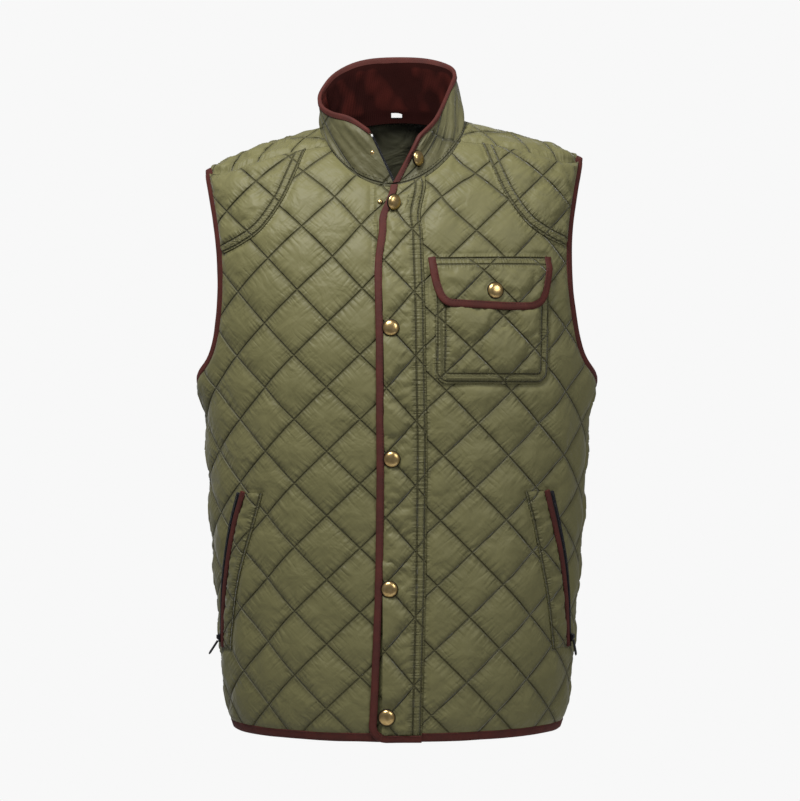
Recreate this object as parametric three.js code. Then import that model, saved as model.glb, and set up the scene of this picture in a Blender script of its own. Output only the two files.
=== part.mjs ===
// Quilted vest, filled out as if worn, with its fronts closed by snaps and its collar open.
// Millimetres, +Z up, the wearer faces -Y, so the wearer's left is +X.
// The origin is the middle of the neck base, level with the tops of the shoulders.
import * as THREE from 'three';
import { mergeVertices } from 'three/addons/utils/BufferGeometryUtils.js';

// Driving dimensions of the body that the cloth hangs on
const CHEST_Z = -300;        // level of the armholes' lowest points
const HEM_Z = -704;          // lower edge of the hem binding
const RIDGE_Z = 11;          // top of the shoulder, carried in to the middle
const RIDGE_FALL = 0.00117;  // fall of the shoulder per square millimetre out
const NAPE_RISE = 15;        // extra height towards the nape
const NAPE_WIDTH = 60;
const RIDGE_BACK = 45;       // how far the shoulder line runs behind the side seam at the neck
const SEAM_NECK_Y = -48;     // the shoulder seam lies ahead of the shoulder line
const SEAM_BEND = 9;         // power with which it comes back to that line at its tip
const SIDE_SEAM_FORWARD = 12;
const SHOULDER_LEAN = 0.033; // the wearer's right shoulder hangs lower
const BODY_SWAY = 3.5;
const WING_FLARE = 7;        // how far the armhole's foot stands off the side

// Cloth sizes
const WALL = 2.2;            // cloth and wadding where they are stitched flat
const PUFF = 4.0;            // extra height in the middle of a quilted diamond
const UNDER_PUFF = 0.1;      // share of the puff left under a piece sewn on top
const SEAM_GAP = 0.3;
const QUILT_WIDE = 76;       // diamond, point to point, across
const QUILT_TALL = 72;
const CELLS = 4;             // lattice cells in a diamond
const STEP_P = QUILT_WIDE / CELLS;
const STEP_Q = QUILT_TALL / CELLS;
const EDGE_FLAT = 11;        // width over which the wadding thins towards an edge
const BINDING_THICK = 1.2;
const BINDING_CLEAR = 0.65;
const ARMHOLE_BINDING = 8.5;
const HEM_BINDING = 8.5;
const FRONT_BINDING = 6.8;
const COLLAR_BINDING = 6.5;
const WELT_BINDING = 6.5;
const ON_PANEL = 3.85;       // height of the underside of a piece sewn on a panel

// Horizontal sections of the inside of the cloth, a row for each level
const TORSO = [
  { z: -300, half: 226, front: 138, back: 104 },
  { z: -335, half: 223, front: 138, back: 103 },
  { z: -375, half: 220, front: 137, back: 102 },
  { z: -420, half: 217.5, front: 136, back: 101 },
  { z: -470, half: 215, front: 135, back: 101 },
  { z: -520, half: 211.5, front: 135, back: 102 },
  { z: -570, half: 207, front: 135, back: 104 },
  { z: -620, half: 204, front: 135, back: 107 },
  { z: -660, half: 200, front: 134, back: 109 },
  { z: -690, half: 194, front: 132, back: 109 },
  { z: -712, half: 187, front: 129, back: 107 },
];

// Bound edge of an armhole seen from the front, from the shoulder down
const ARMHOLE = [
  { z: -78, x: 214 },
  { z: -107, x: 208.5 },
  { z: -136, x: 204.5 },
  { z: -165, x: 203 },
  { z: -198, x: 203.5 },
  { z: -229, x: 207 },
  { z: -252, x: 211 },
  { z: -275, x: 217.5 },
];
const ARMHOLE_TIP_X = 220;
// Foot of the armhole: distance short of the side line, and height over the chest line
const ARMHOLE_FOOT = [
  { short: 17, q: 10 },
  { short: 0, q: 4 },
];

// Inner line of a shoulder patch in the cloth, from the shoulder seam to the armhole
const SHOULDER_PATCH = [
  { p: 102, q: 289 },
  { p: 112.3, q: 251.4 },
  { p: 128, q: 211 },
  { p: 153.5, q: 176 },
  { p: 181, q: 159.5 },
  { p: 205, q: 151 },
];
const SHOULDER_PATCH_X = 102;

// Neckline in plan, an oval where the collar is sewn on
const NECK_HALF = 80;
const NECK_FRONT_Y = -88;
const NECK_BACK_Y = 62;
const NECK_POWER = 2.2;
const SHOULDER_CLEAR = 0.15; // added to half the gap where the seam runs over the shoulder
const NECK_SEAM_OFF = 4.6;   // how far outside the collar's line the body's neck edge stands

// Opening at the neck: the two fronts part above the third snap
const OPEN_RIGHT = { shift: -10.5, from: 60, to: 200, full: 10, gone: 80 };
const OPEN_LEFT = { shift: 15, from: 178, to: 232, full: 40, gone: 84 };

// Places across the closed front, measured from the middle
const RIGHT_EDGE = 9;
const LEFT_EDGE = 13;
const ZIP_LINE = 11;
const PLACKET_SEAM = 30;
// Bound edge of the placket, up the front
const PLACKET_EDGE = [
  { q: -400, p: -31 },
  { q: -345, p: -28.5 },
  { q: -245, p: -24.7 },
  { q: -130, p: -22.6 },
  { q: 60, p: -23.2 },
  { q: 135, p: -22 },
  { q: 170, p: -16.8 },
  { q: 190, p: -17.5 },
  { q: 240, p: -18.5 },
];

// Press studs up the front, at the middles of their caps
const SNAPS = [
  { name: 'snap_front_1', p: -3.5, q: 205, seat: 1.35 },
  { name: 'snap_front_2', p: -7.3, q: 58.6, seat: 0.1 },
  { name: 'snap_front_3', p: -5.5, q: -87.2, seat: 0 },
  { name: 'snap_front_4', p: -8, q: -232.4, seat: 0.25 },
  { name: 'snap_front_5', p: -11, q: -375.2, seat: 0.7 },
];
const SNAP_RADIUS = 8.9;
const SNAP_HEIGHT = 4.4;
const STUD_RADIUS = 2.8;

// Chest pocket and its flap, on the wearer's left
const POCKET = { left: 43.5, right: 179, bottom: -3, top: 132, corner: 15, lean: 0.031 };
const FLAP_BINDING_LINE = [
  { p: 40.7, q: 138 },
  { p: 43.2, q: 118 },
  { p: 46.9, q: 101 },
  { p: 51.5, q: 91 },
  { p: 58.3, q: 85.9 },
  { p: 76.5, q: 84.2 },
  { p: 100, q: 83 },
  { p: 123.5, q: 82 },
  { p: 141.5, q: 81.8 },
  { p: 157.4, q: 83.1 },
  { p: 167.5, q: 88.3 },
  { p: 173, q: 97.4 },
  { p: 176, q: 107.6 },
  { p: 179, q: 124 },
  { p: 180, q: 138 },
];
const FLAP_BINDING = 7;
const FLAP_SNAP = { p: 111, q: 99.8 };

// Welts of the side pockets: their stitched line and their bound edge
const WELT_RIGHT = [
  { q: -127, seam: 157, edge: 187 },
  { q: -165, seam: 170, edge: 202 },
  { q: -205, seam: 184, edge: 215 },
  { q: -245, seam: 197, edge: 227 },
  { q: -285, seam: 208, edge: 236 },
  { q: -308, seam: 213, edge: 239 },
];
const WELT_LEFT = [
  { q: -125, seam: 149, edge: 182 },
  { q: -160, seam: 160, edge: 193.5 },
  { q: -205, seam: 171.5, edge: 208 },
  { q: -252, seam: 183.5, edge: 219.5 },
  { q: -306, seam: 193.5, edge: 228.5 },
];
const ZIP_WIDE = 6;

// Collar: its bound top edge, from the wearer's right round the back to the left
const COLLAR_TOP = [
  { x: -28.6, y: -86, z: -13 },
  { x: -49.5, y: -74, z: 3 },
  { x: -69.6, y: -53, z: 12 },
  { x: -83, y: -29, z: 21.5 },
  { x: -88.4, y: 0, z: 36 },
  { x: -84.5, y: 24, z: 52 },
  { x: -70.8, y: 45, z: 72 },
  { x: -50.6, y: 56, z: 85 },
  { x: -30, y: 60, z: 91 },
  { x: 7, y: 62, z: 93.5 },
  { x: 37, y: 59, z: 92 },
  { x: 56, y: 51, z: 86.5 },
  { x: 68, y: 40, z: 79 },
  { x: 72.7, y: 26, z: 67 },
  { x: 70, y: 10, z: 55 },
  { x: 63.5, y: -8, z: 37 },
  { x: 56.5, y: -30, z: 19 },
  { x: 48, y: -55, z: 2 },
  { x: 29.5, y: -82, z: -19 },
];
const COLLAR_LINING = 1.2;   // lining, then a gap, then the quilted outside
const COLLAR_OUTER = 2.2;

// Where two quilting lines cross, for each panel: across and above the chest line
const QUILT_RIGHT = [-79, -7.5];
const QUILT_LEFT = [59.6, -11.6];
const QUILT_BACK = [0, -10];
const QUILT_PLACKET = [11.7, -261];
const QUILT_POCKET = [120.9, 72];
const QUILT_FLAP = [99.4, 121];

// Soft folds, as ridges standing off the body: place, half width, half length, height, lean
const FOLDS = [
  { face: 'front', p: -150, q: -60, wide: 16, long: 70, rise: 3.2, lean: 0.3 },
  { face: 'front', p: -95, q: -330, wide: 20, long: 60, rise: 3.0, lean: -0.2 },
  { face: 'front', p: -190, q: -250, wide: 15, long: 90, rise: 3.0, lean: 0.05 },
  { face: 'front', p: 128, q: -200, wide: 17, long: 80, rise: 3.2, lean: -0.12 },
  { face: 'front', p: 75, q: -320, wide: 20, long: 60, rise: 2.6, lean: 0.25 },
  { face: 'front', p: 200, q: -60, wide: 14, long: 60, rise: 3.0, lean: -0.25 },
  { face: 'front', p: 60, q: 190, wide: 13, long: 45, rise: 2.4, lean: 0.35 },
  { face: 'back', p: -120, q: 40, wide: 20, long: 90, rise: 3.4, lean: 0.3 },
  { face: 'back', p: 125, q: 30, wide: 20, long: 90, rise: 3.4, lean: -0.3 },
  { face: 'back', p: -60, q: -260, wide: 24, long: 100, rise: 3.0, lean: 0.1 },
  { face: 'back', p: 90, q: -280, wide: 22, long: 90, rise: 3.0, lean: -0.1 },
];

const clamp = (value, low, high) => Math.min(high, Math.max(low, value));
const mix = (a, b, t) => a + (b - a) * t;

function smooth(value, from, to) {
  const t = clamp((value - from) / (to - from), 0, 1);
  return t * t * (3 - 2 * t);
}

// A value read from a table whose first column falls or rises steadily, on a smooth curve
function fromTable(rows, key, at, column) {
  const sign = rows[rows.length - 1][key] > rows[0][key] ? 1 : -1;
  let i = 0;
  while (i < rows.length - 2 && sign * at > sign * rows[i + 1][key]) i += 1;
  const t = clamp((at - rows[i][key]) / (rows[i + 1][key] - rows[i][key]), 0, 1);
  const [a, b] = [rows[i][column], rows[i + 1][column]];
  const before = i > 0 ? (b - rows[i - 1][column]) / 2 : b - a;
  const after = i < rows.length - 2 ? (rows[i + 2][column] - a) / 2 : b - a;
  const [t2, t3] = [t * t, t * t * t];
  return a * (2 * t3 - 3 * t2 + 1) + b * (3 * t2 - 2 * t3)
    + before * (t3 - 2 * t2 + t) + after * (t3 - t2);
}

// The body above the chest line: arches from front to back, one for each distance out
function arch(x) {
  const out = clamp(Math.abs(x) / TORSO[0].half, 0, 1);
  const level = Math.sqrt(1 - out * out);
  const nape = NAPE_RISE * Math.exp(-((x / NAPE_WIDTH) ** 2));
  return {
    ridgeY: RIDGE_BACK * level * level,
    height: RIDGE_Z - RIDGE_FALL * x * x + nape - CHEST_Z,
    front: TORSO[0].front * level,
    back: TORSO[0].back * level,
    frontPower: mix(2.0, 3.2, out ** 1.5),
    backPower: mix(2.8, 3.2, out),
  };
}

function archHeight(x, y) {
  const a = arch(x);
  const ahead = y < a.ridgeY;
  const reach = ahead ? a.front + a.ridgeY : a.back - a.ridgeY;
  const power = ahead ? a.frontPower : a.backPower;
  const share = clamp(Math.abs(y - a.ridgeY) / reach, 0, 1);
  return CHEST_Z + a.height * (1 - share ** power) ** (1 / power);
}

// The whole arch as a line with running length, from the front chest over to the back
const ARCH_STEPS = 56;
const archLines = new Map();
function archLine(x) {
  const key = Math.abs(x).toFixed(3);
  if (archLines.has(key)) return archLines.get(key);
  const a = arch(x);
  const line = { y: [], z: [], run: [] };
  for (let i = 0; i <= 2 * ARCH_STEPS; i += 1) {
    const ahead = i <= ARCH_STEPS;
    const turn = (ahead ? i : 2 * ARCH_STEPS - i) / ARCH_STEPS * Math.PI / 2;
    const power = 2 / (ahead ? a.frontPower : a.backPower);
    const reach = ahead ? -(a.front + a.ridgeY) : a.back - a.ridgeY;
    line.y.push(a.ridgeY + reach * Math.max(0, Math.cos(turn)) ** power);
    line.z.push(CHEST_Z + a.height * Math.sin(turn) ** power);
    line.run.push(i === 0 ? 0 : line.run[i - 1]
      + Math.hypot(line.y[i] - line.y[i - 1], line.z[i] - line.z[i - 1]));
  }
  line.total = line.run[line.run.length - 1];
  archLines.set(key, line);
  return line;
}

function findRun(run, at) {
  let [low, high] = [0, run.length - 1];
  while (high - low > 1) {
    const middle = (low + high) >> 1;
    if (run[middle] > at) high = middle;
    else low = middle;
  }
  const span = run[high] - run[low];
  return [low, span > 0 ? clamp((at - run[low]) / span, 0, 1) : 0];
}

// One level of the cloth, from the middle of the front round the side to the middle of the back.
// q is the length of cloth above the chest line, so it is negative below it.
const ROW_STEPS = 48;
const rows = new Map();
function rowAt(q) {
  const key = q.toFixed(3);
  if (rows.has(key)) return rows.get(key);
  const row = { x: [], y: [], z: [], run: [] };
  for (let i = 0; i <= 2 * ROW_STEPS; i += 1) {
    const turn = i / ROW_STEPS * Math.PI / 2;
    const ahead = i <= ROW_STEPS;
    if (q <= 0) {
      const z = CHEST_Z + q;
      const depth = fromTable(TORSO, 'z', z, ahead ? 'front' : 'back');
      row.x.push(fromTable(TORSO, 'z', z, 'half') * Math.sin(turn));
      row.y.push(-depth * Math.cos(turn));
      row.z.push(z);
    } else {
      const x = TORSO[0].half * Math.sin(turn);
      const line = archLine(x);
      const [k, t] = findRun(line.run, ahead ? q : line.total - q);
      row.x.push(x);
      row.y.push(mix(line.y[k], line.y[k + 1], t));
      row.z.push(mix(line.z[k], line.z[k + 1], t));
    }
    row.run.push(i === 0 ? 0 : row.run[i - 1] + Math.hypot(
      row.x[i] - row.x[i - 1], row.y[i] - row.y[i - 1], row.z[i] - row.z[i - 1]));
  }
  row.total = row.run[row.run.length - 1];
  row.side = row.run[ROW_STEPS];
  rows.set(key, row);
  return row;
}

// How the whole garment hangs: a lean of the shoulders, a sway and the armholes' wings
function hang(x, y, z) {
  const wing = WING_FLARE * Math.exp(-(((z + 296) / 24) ** 2)) * smooth(Math.abs(x), 196, 226);
  const leanShare = smooth(z, -280, -60);
  return new THREE.Vector3(
    x + Math.sign(x) * wing + BODY_SWAY * smooth(-z, 120, 280),
    y,
    z + SHOULDER_LEAN * x * leanShare,
  );
}

function opening(face, p, q) {
  if (face === 'right') {
    const o = OPEN_RIGHT;
    return o.shift * smooth(q, o.from, o.to) * (1 - smooth(-p, o.full, o.gone));
  }
  if (face === 'left') {
    const o = OPEN_LEFT;
    return o.shift * smooth(q, o.from, o.to) * (1 - smooth(p, o.full, o.gone));
  }
  return 0;
}

// A point of the inside of the cloth: face is right, left or back, p runs across and q up
function bare(face, p, q) {
  const at = p + opening(face, p, q);
  const row = rowAt(q);
  const along = face === 'back' ? row.total - Math.abs(at) : Math.abs(at);
  const [k, t] = findRun(row.run, along);
  const x = mix(row.x[k], row.x[k + 1], t);
  return hang(at < 0 ? -x : x, mix(row.y[k], row.y[k + 1], t), mix(row.z[k], row.z[k + 1], t));
}

function outward(face, p, q) {
  const across = bare(face, p + 1.5, q).sub(bare(face, p - 1.5, q));
  const up = bare(face, p, q + 1.5).sub(bare(face, p, q - 1.5));
  const normal = across.cross(up).normalize();
  return face === 'back' ? normal.negate() : normal;
}

function foldHeight(face, p, q) {
  const side = face === 'back' ? 'back' : 'front';
  let height = 0;
  for (const fold of FOLDS) {
    if (fold.face !== side) continue;
    const up = q - fold.q;
    const off = p - fold.p - fold.lean * up;
    height += fold.rise * Math.exp(-((off / fold.wide) ** 2) - (up / fold.long) ** 2);
  }
  return height;
}

// A point at a height over the inside of the cloth
function clothPoint(face, p, q, height) {
  return bare(face, p, q).addScaledVector(outward(face, p, q), height + foldHeight(face, p, q));
}

// Pattern coordinates of a point given from the front, or in plan for the neck
function patternOf(face, x, z) {
  const out = Math.abs(x);
  let q = z - CHEST_Z;
  if (q > 0) {
    const line = archLine(out);
    let k = face === 'back' ? 2 * ARCH_STEPS : 0;
    const step = face === 'back' ? -1 : 1;
    while (line.z[k + step] < z && k !== ARCH_STEPS - step) k += step;
    const t = (z - line.z[k]) / (line.z[k + step] - line.z[k]);
    const run = mix(line.run[k], line.run[k + step], t);
    q = face === 'back' ? line.total - run : run;
  }
  return [Math.sign(x) * acrossAt(face, out, q), q];
}

function patternInPlan(face, x, y) {
  const line = archLine(Math.abs(x));
  let k = 0;
  while (k < line.y.length - 2 && line.y[k + 1] < y) k += 1;
  const run = mix(line.run[k], line.run[k + 1], (y - line.y[k]) / (line.y[k + 1] - line.y[k]));
  const q = face === 'back' ? line.total - run : run;
  const place = Math.sign(x) * acrossAt(face, Math.abs(x), q);
  return [closedPlace(face, place, q), q];
}

function acrossAt(face, out, q) {
  const row = rowAt(q);
  let k = face === 'back' ? 2 * ROW_STEPS : 0;
  const step = face === 'back' ? -1 : 1;
  while (row.x[k + step] < out && k !== ROW_STEPS - step) k += step;
  const t = clamp((out - row.x[k]) / (row.x[k + step] - row.x[k]), 0, 1);
  const run = mix(row.run[k], row.run[k + step], t);
  return face === 'back' ? row.total - run : run;
}

// Undoes the opening at the neck, so that an edge drawn on the body can be cut in the cloth
function closedPlace(face, place, q) {
  let p = place;
  for (let i = 0; i < 8; i += 1) p = place - opening(face, p, q);
  return p;
}

// Outlines, as named stretches of points that follow each other round the piece
function stretch(name, points) {
  return { name, points };
}

function splineThrough(points, spacing = 6) {
  const curve = new THREE.CatmullRomCurve3(
    points.map(([p, q]) => new THREE.Vector3(p, q, 0)), false, 'centripetal');
  const count = Math.max(2, Math.round(curve.getLength() / spacing));
  return curve.getSpacedPoints(count).map((v) => [v.x, v.y]);
}

// A line moved sideways in the pattern, to its left as it runs
function movedLine(points, distance) {
  return points.map(([p, q], i) => {
    const a = points[Math.max(0, i - 1)];
    const b = points[Math.min(points.length - 1, i + 1)];
    const length = Math.hypot(b[0] - a[0], b[1] - a[1]);
    return [p - (b[1] - a[1]) / length * distance, q + (b[0] - a[0]) / length * distance];
  });
}

// The pattern is drawn for the wearer's left and mirrored for the right
function neckPoint(turn, off) {
  const middle = (NECK_FRONT_Y + NECK_BACK_Y) / 2;
  const reach = (NECK_BACK_Y - NECK_FRONT_Y) / 2 + off;
  const power = 2 / NECK_POWER;
  const x = (NECK_HALF + off) * Math.abs(Math.sin(turn)) ** power;
  const y = middle - reach * Math.sign(Math.cos(turn)) * Math.abs(Math.cos(turn)) ** power;
  return [x * Math.sign(Math.sin(turn)), y];
}

// The turn round the neck oval at which the edge meets the shoulder seam
function neckTurnAtSeam(off) {
  let [low, high] = [0.2 * Math.PI, 0.7 * Math.PI];
  for (let i = 0; i < 40; i += 1) {
    const turn = (low + high) / 2;
    if (neckPoint(turn, off)[1] < SEAM_NECK_Y) low = turn;
    else high = turn;
  }
  return low;
}

function shoulderSeamY(x) {
  return SEAM_NECK_Y * (1 - (x / TORSO[0].half) ** SEAM_BEND);
}

function shoulderPattern(face, x) {
  const line = archLine(x);
  const y = shoulderSeamY(x);
  let k = 0;
  while (line.y[k + 1] < y) k += 1;
  const t = (y - line.y[k]) / (line.y[k + 1] - line.y[k]);
  const run = mix(line.run[k], line.run[k + 1], t);
  const q = face === 'back' ? line.total - run : run;
  return [acrossAt(face, x, q), q];
}

function armholeLine(face, inset) {
  const back = face === 'back';
  const points = [shoulderPattern(face, ARMHOLE_TIP_X)];
  for (const row of ARMHOLE) points.push(patternOf(face, row.x, row.z));
  for (const foot of ARMHOLE_FOOT) {
    const row = rowAt(foot.q);
    points.push([(back ? row.total - row.side : row.side) - foot.short, foot.q]);
  }
  const last = points[points.length - 1];
  const seam = [last[0] + (back ? 1 : -1) * SIDE_SEAM_FORWARD, last[1] + 1.5];
  if (back) points.push(seam);
  else points[points.length - 1] = seam;
  return movedLine(splineThrough(points), -inset);
}

function neckEdge(face, off, turnEnd, steps = 26) {
  const points = [];
  for (let i = 0; i <= steps; i += 1) {
    const turn = mix(face === 'back' ? Math.PI : 0, turnEnd, i / steps);
    const [x, y] = neckPoint(turn, off);
    const side = face === 'right' ? -1 : 1;
    const [p, q] = patternInPlan(face, side * Math.max(x, 0.01), y);
    points.push([side * p, q]);
  }
  return points;
}

function shoulderEdge(face, fromX, toX, inset) {
  const seam = [];
  for (let i = 0; i <= 12; i += 1) seam.push(shoulderPattern(face, mix(fromX, toX, i / 12)));
  return movedLine(seam, -inset);
}

function heightOf(edge, p) {
  for (let i = 1; i < edge.length; i += 1) {
    if (edge[i][0] >= p) {
      const t = (p - edge[i - 1][0]) / (edge[i][0] - edge[i - 1][0]);
      return mix(edge[i - 1][1], edge[i][1], t);
    }
  }
  return edge[0][1];
}

// A body panel, cut back from its finished edges by the bindings and by half a seam gap
function bodyOutline(face, start, { neckOff = NECK_SEAM_OFF, inset = 0 } = {}) {
  const half = SEAM_GAP / 2 + inset;
  const back = face === 'back';
  const turnEnd = neckTurnAtSeam(neckOff);
  const neck = neckEdge(face, neckOff, turnEnd);
  const hem = HEM_Z - CHEST_Z + HEM_BINDING + inset;
  const armhole = armholeLine(face, ARMHOLE_BINDING + inset);
  const shoulder = shoulderEdge(face, neckPoint(turnEnd, neckOff)[0],
    ARMHOLE_TIP_X - ARMHOLE_BINDING - inset, half + SHOULDER_CLEAR);
  const top = armhole[armhole.length - 1][1];
  const forward = back ? SIDE_SEAM_FORWARD - half : -SIDE_SEAM_FORWARD - half;
  const side = [];
  for (let i = 0; i <= 24; i += 1) {
    const q = mix(top, hem, i / 24);
    const row = rowAt(q);
    side.push([(back ? row.total - row.side : row.side) + forward, q]);
  }
  armhole[0] = shoulder[shoulder.length - 1];
  armhole[armhole.length - 1] = side[0];
  neck[neck.length - 1] = shoulder[0];
  const first = heightOf(neck, start);
  return [
    stretch('front', [[start, hem], [start, first]]),
    stretch('neck', [[start, first], ...neck.filter(([p]) => p > start + 3)]),
    stretch('shoulder', shoulder),
    stretch('armhole', armhole),
    stretch('side', side),
    stretch('hem', [side[side.length - 1], [start, hem]]),
  ];
}

function mirrorPoints(points) {
  return points.map(([p, q]) => [-p, q]);
}

function mirrorOutline(outline) {
  return outline.map((part) => stretch(part.name, mirrorPoints(part.points)));
}

// The back is drawn as one half and its mirror
function wholeBack(outline) {
  const half = outline.filter((part) => part.name !== 'front');
  const other = half.map((part) => stretch(`${part.name}2`, mirrorPoints(part.points).reverse()));
  return [...half, ...other.reverse()];
}

// Nearest place on an outline, and whether a point lies inside it
function locate(outline, p, q) {
  let best = { distance: Infinity };
  let inside = false;
  outline.forEach((part, partIndex) => {
    const points = part.points;
    for (let i = 1; i < points.length; i += 1) {
      const [ap, aq] = points[i - 1];
      const [bp, bq] = points[i];
      const [dp, dq] = [bp - ap, bq - aq];
      const length2 = dp * dp + dq * dq;
      const t = length2 > 0 ? clamp(((p - ap) * dp + (q - aq) * dq) / length2, 0, 1) : 0;
      const [np, nq] = [ap + dp * t, aq + dq * t];
      const distance = Math.hypot(p - np, q - nq);
      if (distance < best.distance) {
        best = { distance, at: [np, nq], part: part.name, order: partIndex * 1000 + i + t };
      }
      if ((aq > q) !== (bq > q) && p < ap + (q - aq) / (bq - aq) * dp) inside = !inside;
    }
  });
  return { ...best, inside };
}

// A lattice that follows the quilting, with its rim drawn onto the outline
function lattice(outline, crossing, stepP = STEP_P, stepQ = STEP_Q) {
  const all = outline.flatMap((part) => part.points);
  const bound = (pick, k) => pick(...all.map((v) => v[k]));
  const i0 = Math.floor((bound(Math.min, 0) - crossing[0]) / stepP) - 1;
  const i1 = Math.ceil((bound(Math.max, 0) - crossing[0]) / stepP) + 1;
  const j0 = Math.floor((bound(Math.min, 1) - crossing[1]) / stepQ) - 1;
  const j1 = Math.ceil((bound(Math.max, 1) - crossing[1]) / stepQ) + 1;
  const reach = Math.max(stepP, stepQ) / 2 + 0.01;
  const nodes = new Map();
  for (let i = i0; i <= i1; i += 1) {
    for (let j = j0; j <= j1; j += 1) {
      const home = [crossing[0] + i * stepP, crossing[1] + j * stepQ];
      const place = locate(outline, home[0], home[1]);
      const edge = place.distance < reach;
      if (!edge && !place.inside) continue;
      const at = edge ? place.at : home;
      nodes.set(`${i},${j}`, { edge, at, home, part: place.part, order: place.order });
    }
  }
  // Each corner of the outline takes the rim point that lies nearest to it
  outline.forEach((part, index) => {
    const corner = part.points[0];
    let nearest = null;
    for (const node of nodes.values()) {
      if (!node.edge || node.corner) continue;
      const distance = Math.hypot(node.home[0] - corner[0], node.home[1] - corner[1]);
      if (!nearest || distance < nearest.distance) nearest = { node, distance };
    }
    if (!nearest) return;
    Object.assign(nearest.node, {
      at: [...corner], corner: true, part: part.name, order: index * 1000,
    });
  });
  const triangles = [];
  const keep = (a, b, c) => {
    const area = (b.at[0] - a.at[0]) * (c.at[1] - a.at[1])
      - (b.at[1] - a.at[1]) * (c.at[0] - a.at[0]);
    if (area < 0.8) return;
    const centre = [0, 1].map((k) => (a.at[k] + b.at[k] + c.at[k]) / 3);
    if (a.edge && b.edge && c.edge && !locate(outline, centre[0], centre[1]).inside) return;
    triangles.push([a, b, c]);
  };
  for (let i = i0; i < i1; i += 1) {
    for (let j = j0; j < j1; j += 1) {
      const ring = [[i, j], [i + 1, j], [i + 1, j + 1], [i, j + 1]];
      const [a, b, c, d] = ring.map(([u, v]) => nodes.get(`${u},${v}`));
      const held = [a, b, c, d].filter(Boolean);
      if (held.length === 3) keep(...held);
      if (held.length < 4) continue;
      if ((i - j) % 2 === 0) {
        keep(a, b, c);
        keep(a, c, d);
      } else {
        keep(a, b, d);
        keep(b, c, d);
      }
    }
  }
  return { nodes: [...new Set(triangles.flat())], triangles };
}

// Rim points of a lattice along the named stretches, in order
function rimOf(mesh, ...names) {
  const points = [];
  for (const name of names) {
    points.push(...mesh.nodes.filter((node) => node.edge && node.part === name)
      .sort((a, b) => a.order - b.order));
  }
  return points;
}

function toCorner(mesh, name, next) {
  const end = mesh.nodes.find((node) => node.corner && node.part === next);
  return [...rimOf(mesh, name), end];
}

// Height of the wadding: nothing on a stitched line, most in the middle of a diamond
function quiltShare(crossing, p, q) {
  const [u, v] = [(p - crossing[0]) / QUILT_WIDE, (q - crossing[1]) / QUILT_TALL];
  const share = (line) => Math.sin(Math.PI * (line - Math.floor(line)));
  return (share(u - v) * share(u + v)) ** 0.7;
}

// A closed solid from two sheets of points over the same triangles
function shell(low, high, triangles, flip) {
  const positions = [...low, ...high].flatMap((v) => [v.x, v.y, v.z]);
  const count = low.length;
  const faces = [];
  const add = (a, b, c) => faces.push(...(flip ? [a, c, b] : [a, b, c]));
  const edges = new Map();
  for (const [a, b, c] of triangles) {
    add(a + count, b + count, c + count);
    add(a, c, b);
    for (const [m, n] of [[a, b], [b, c], [c, a]]) {
      if (edges.has(`${n},${m}`)) edges.delete(`${n},${m}`);
      else edges.set(`${m},${n}`, [m, n]);
    }
  }
  for (const [m, n] of edges.values()) {
    add(m, n, n + count);
    add(m, n + count, m + count);
  }
  const geometry = new THREE.BufferGeometry();
  geometry.setAttribute('position', new THREE.Float32BufferAttribute(positions, 3));
  geometry.setIndex(faces);
  return geometry;
}

function clothShell(face, mesh, under, over) {
  const index = new Map(mesh.nodes.map((node, k) => [node, k]));
  const layer = (height) => mesh.nodes.map(
    (node) => clothPoint(face, node.at[0], node.at[1], height(node)));
  const triangles = mesh.triangles.map((corners) => corners.map((node) => index.get(node)));
  return shell(layer(under), layer(over), triangles, face === 'back');
}

// Pieces sewn on a panel press its wadding flat, out to one lattice cell past their edge
function pressed(covers, p, q) {
  return covers.some((outline) => {
    const place = locate(outline, p, q);
    return place.inside || place.distance < STEP_P;
  });
}

function quilted(face, outline, crossing, { base = 0, wall = WALL, puff = PUFF, covers = [] } = {}) {
  const mesh = lattice(outline, crossing);
  const over = (node) => {
    const [p, q] = node.at;
    const depth = node.edge ? 0 : locate(outline, p, q).distance;
    const share = pressed(covers, p, q) ? UNDER_PUFF : 1;
    return base + wall + share * puff * quiltShare(crossing, p, q) * smooth(depth, -1, EDGE_FLAT);
  };
  return { mesh, geometry: clothShell(face, mesh, () => base, over) };
}

// Turns a closed mesh inside out if its volume is negative
function facingOut(geometry) {
  const at = geometry.getAttribute('position');
  const faces = geometry.getIndex();
  const corner = (k) => new THREE.Vector3().fromBufferAttribute(at, faces.getX(k));
  let volume = 0;
  for (let k = 0; k < faces.count; k += 3) {
    volume += corner(k).dot(corner(k + 1).cross(corner(k + 2)));
  }
  for (let k = 0; volume < 0 && k < faces.count; k += 3) {
    const [b, c] = [faces.getX(k + 1), faces.getX(k + 2)];
    faces.setX(k + 1, c);
    faces.setX(k + 2, b);
  }
  return geometry;
}

// A bar swept along a line of stations, each of which gives its section's corners
function sweep(rings, closed = false) {
  const positions = rings.flat().flatMap((v) => [v.x, v.y, v.z]);
  const sides = rings[0].length;
  const faces = [];
  const spans = closed ? rings.length : rings.length - 1;
  for (let i = 0; i < spans; i += 1) {
    const next = (i + 1) % rings.length;
    for (let k = 0; k < sides; k += 1) {
      const [a, b] = [i * sides + k, i * sides + (k + 1) % sides];
      const [c, d] = [next * sides + k, next * sides + (k + 1) % sides];
      faces.push(a, b, d, a, d, c);
    }
  }
  for (let k = 1; !closed && k < sides - 1; k += 1) {
    const last = (rings.length - 1) * sides;
    faces.push(0, k + 1, k);
    faces.push(last, last + k, last + k + 1);
  }
  const geometry = new THREE.BufferGeometry();
  geometry.setAttribute('position', new THREE.Float32BufferAttribute(positions, 3));
  geometry.setIndex(faces);
  return facingOut(geometry);
}

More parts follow.
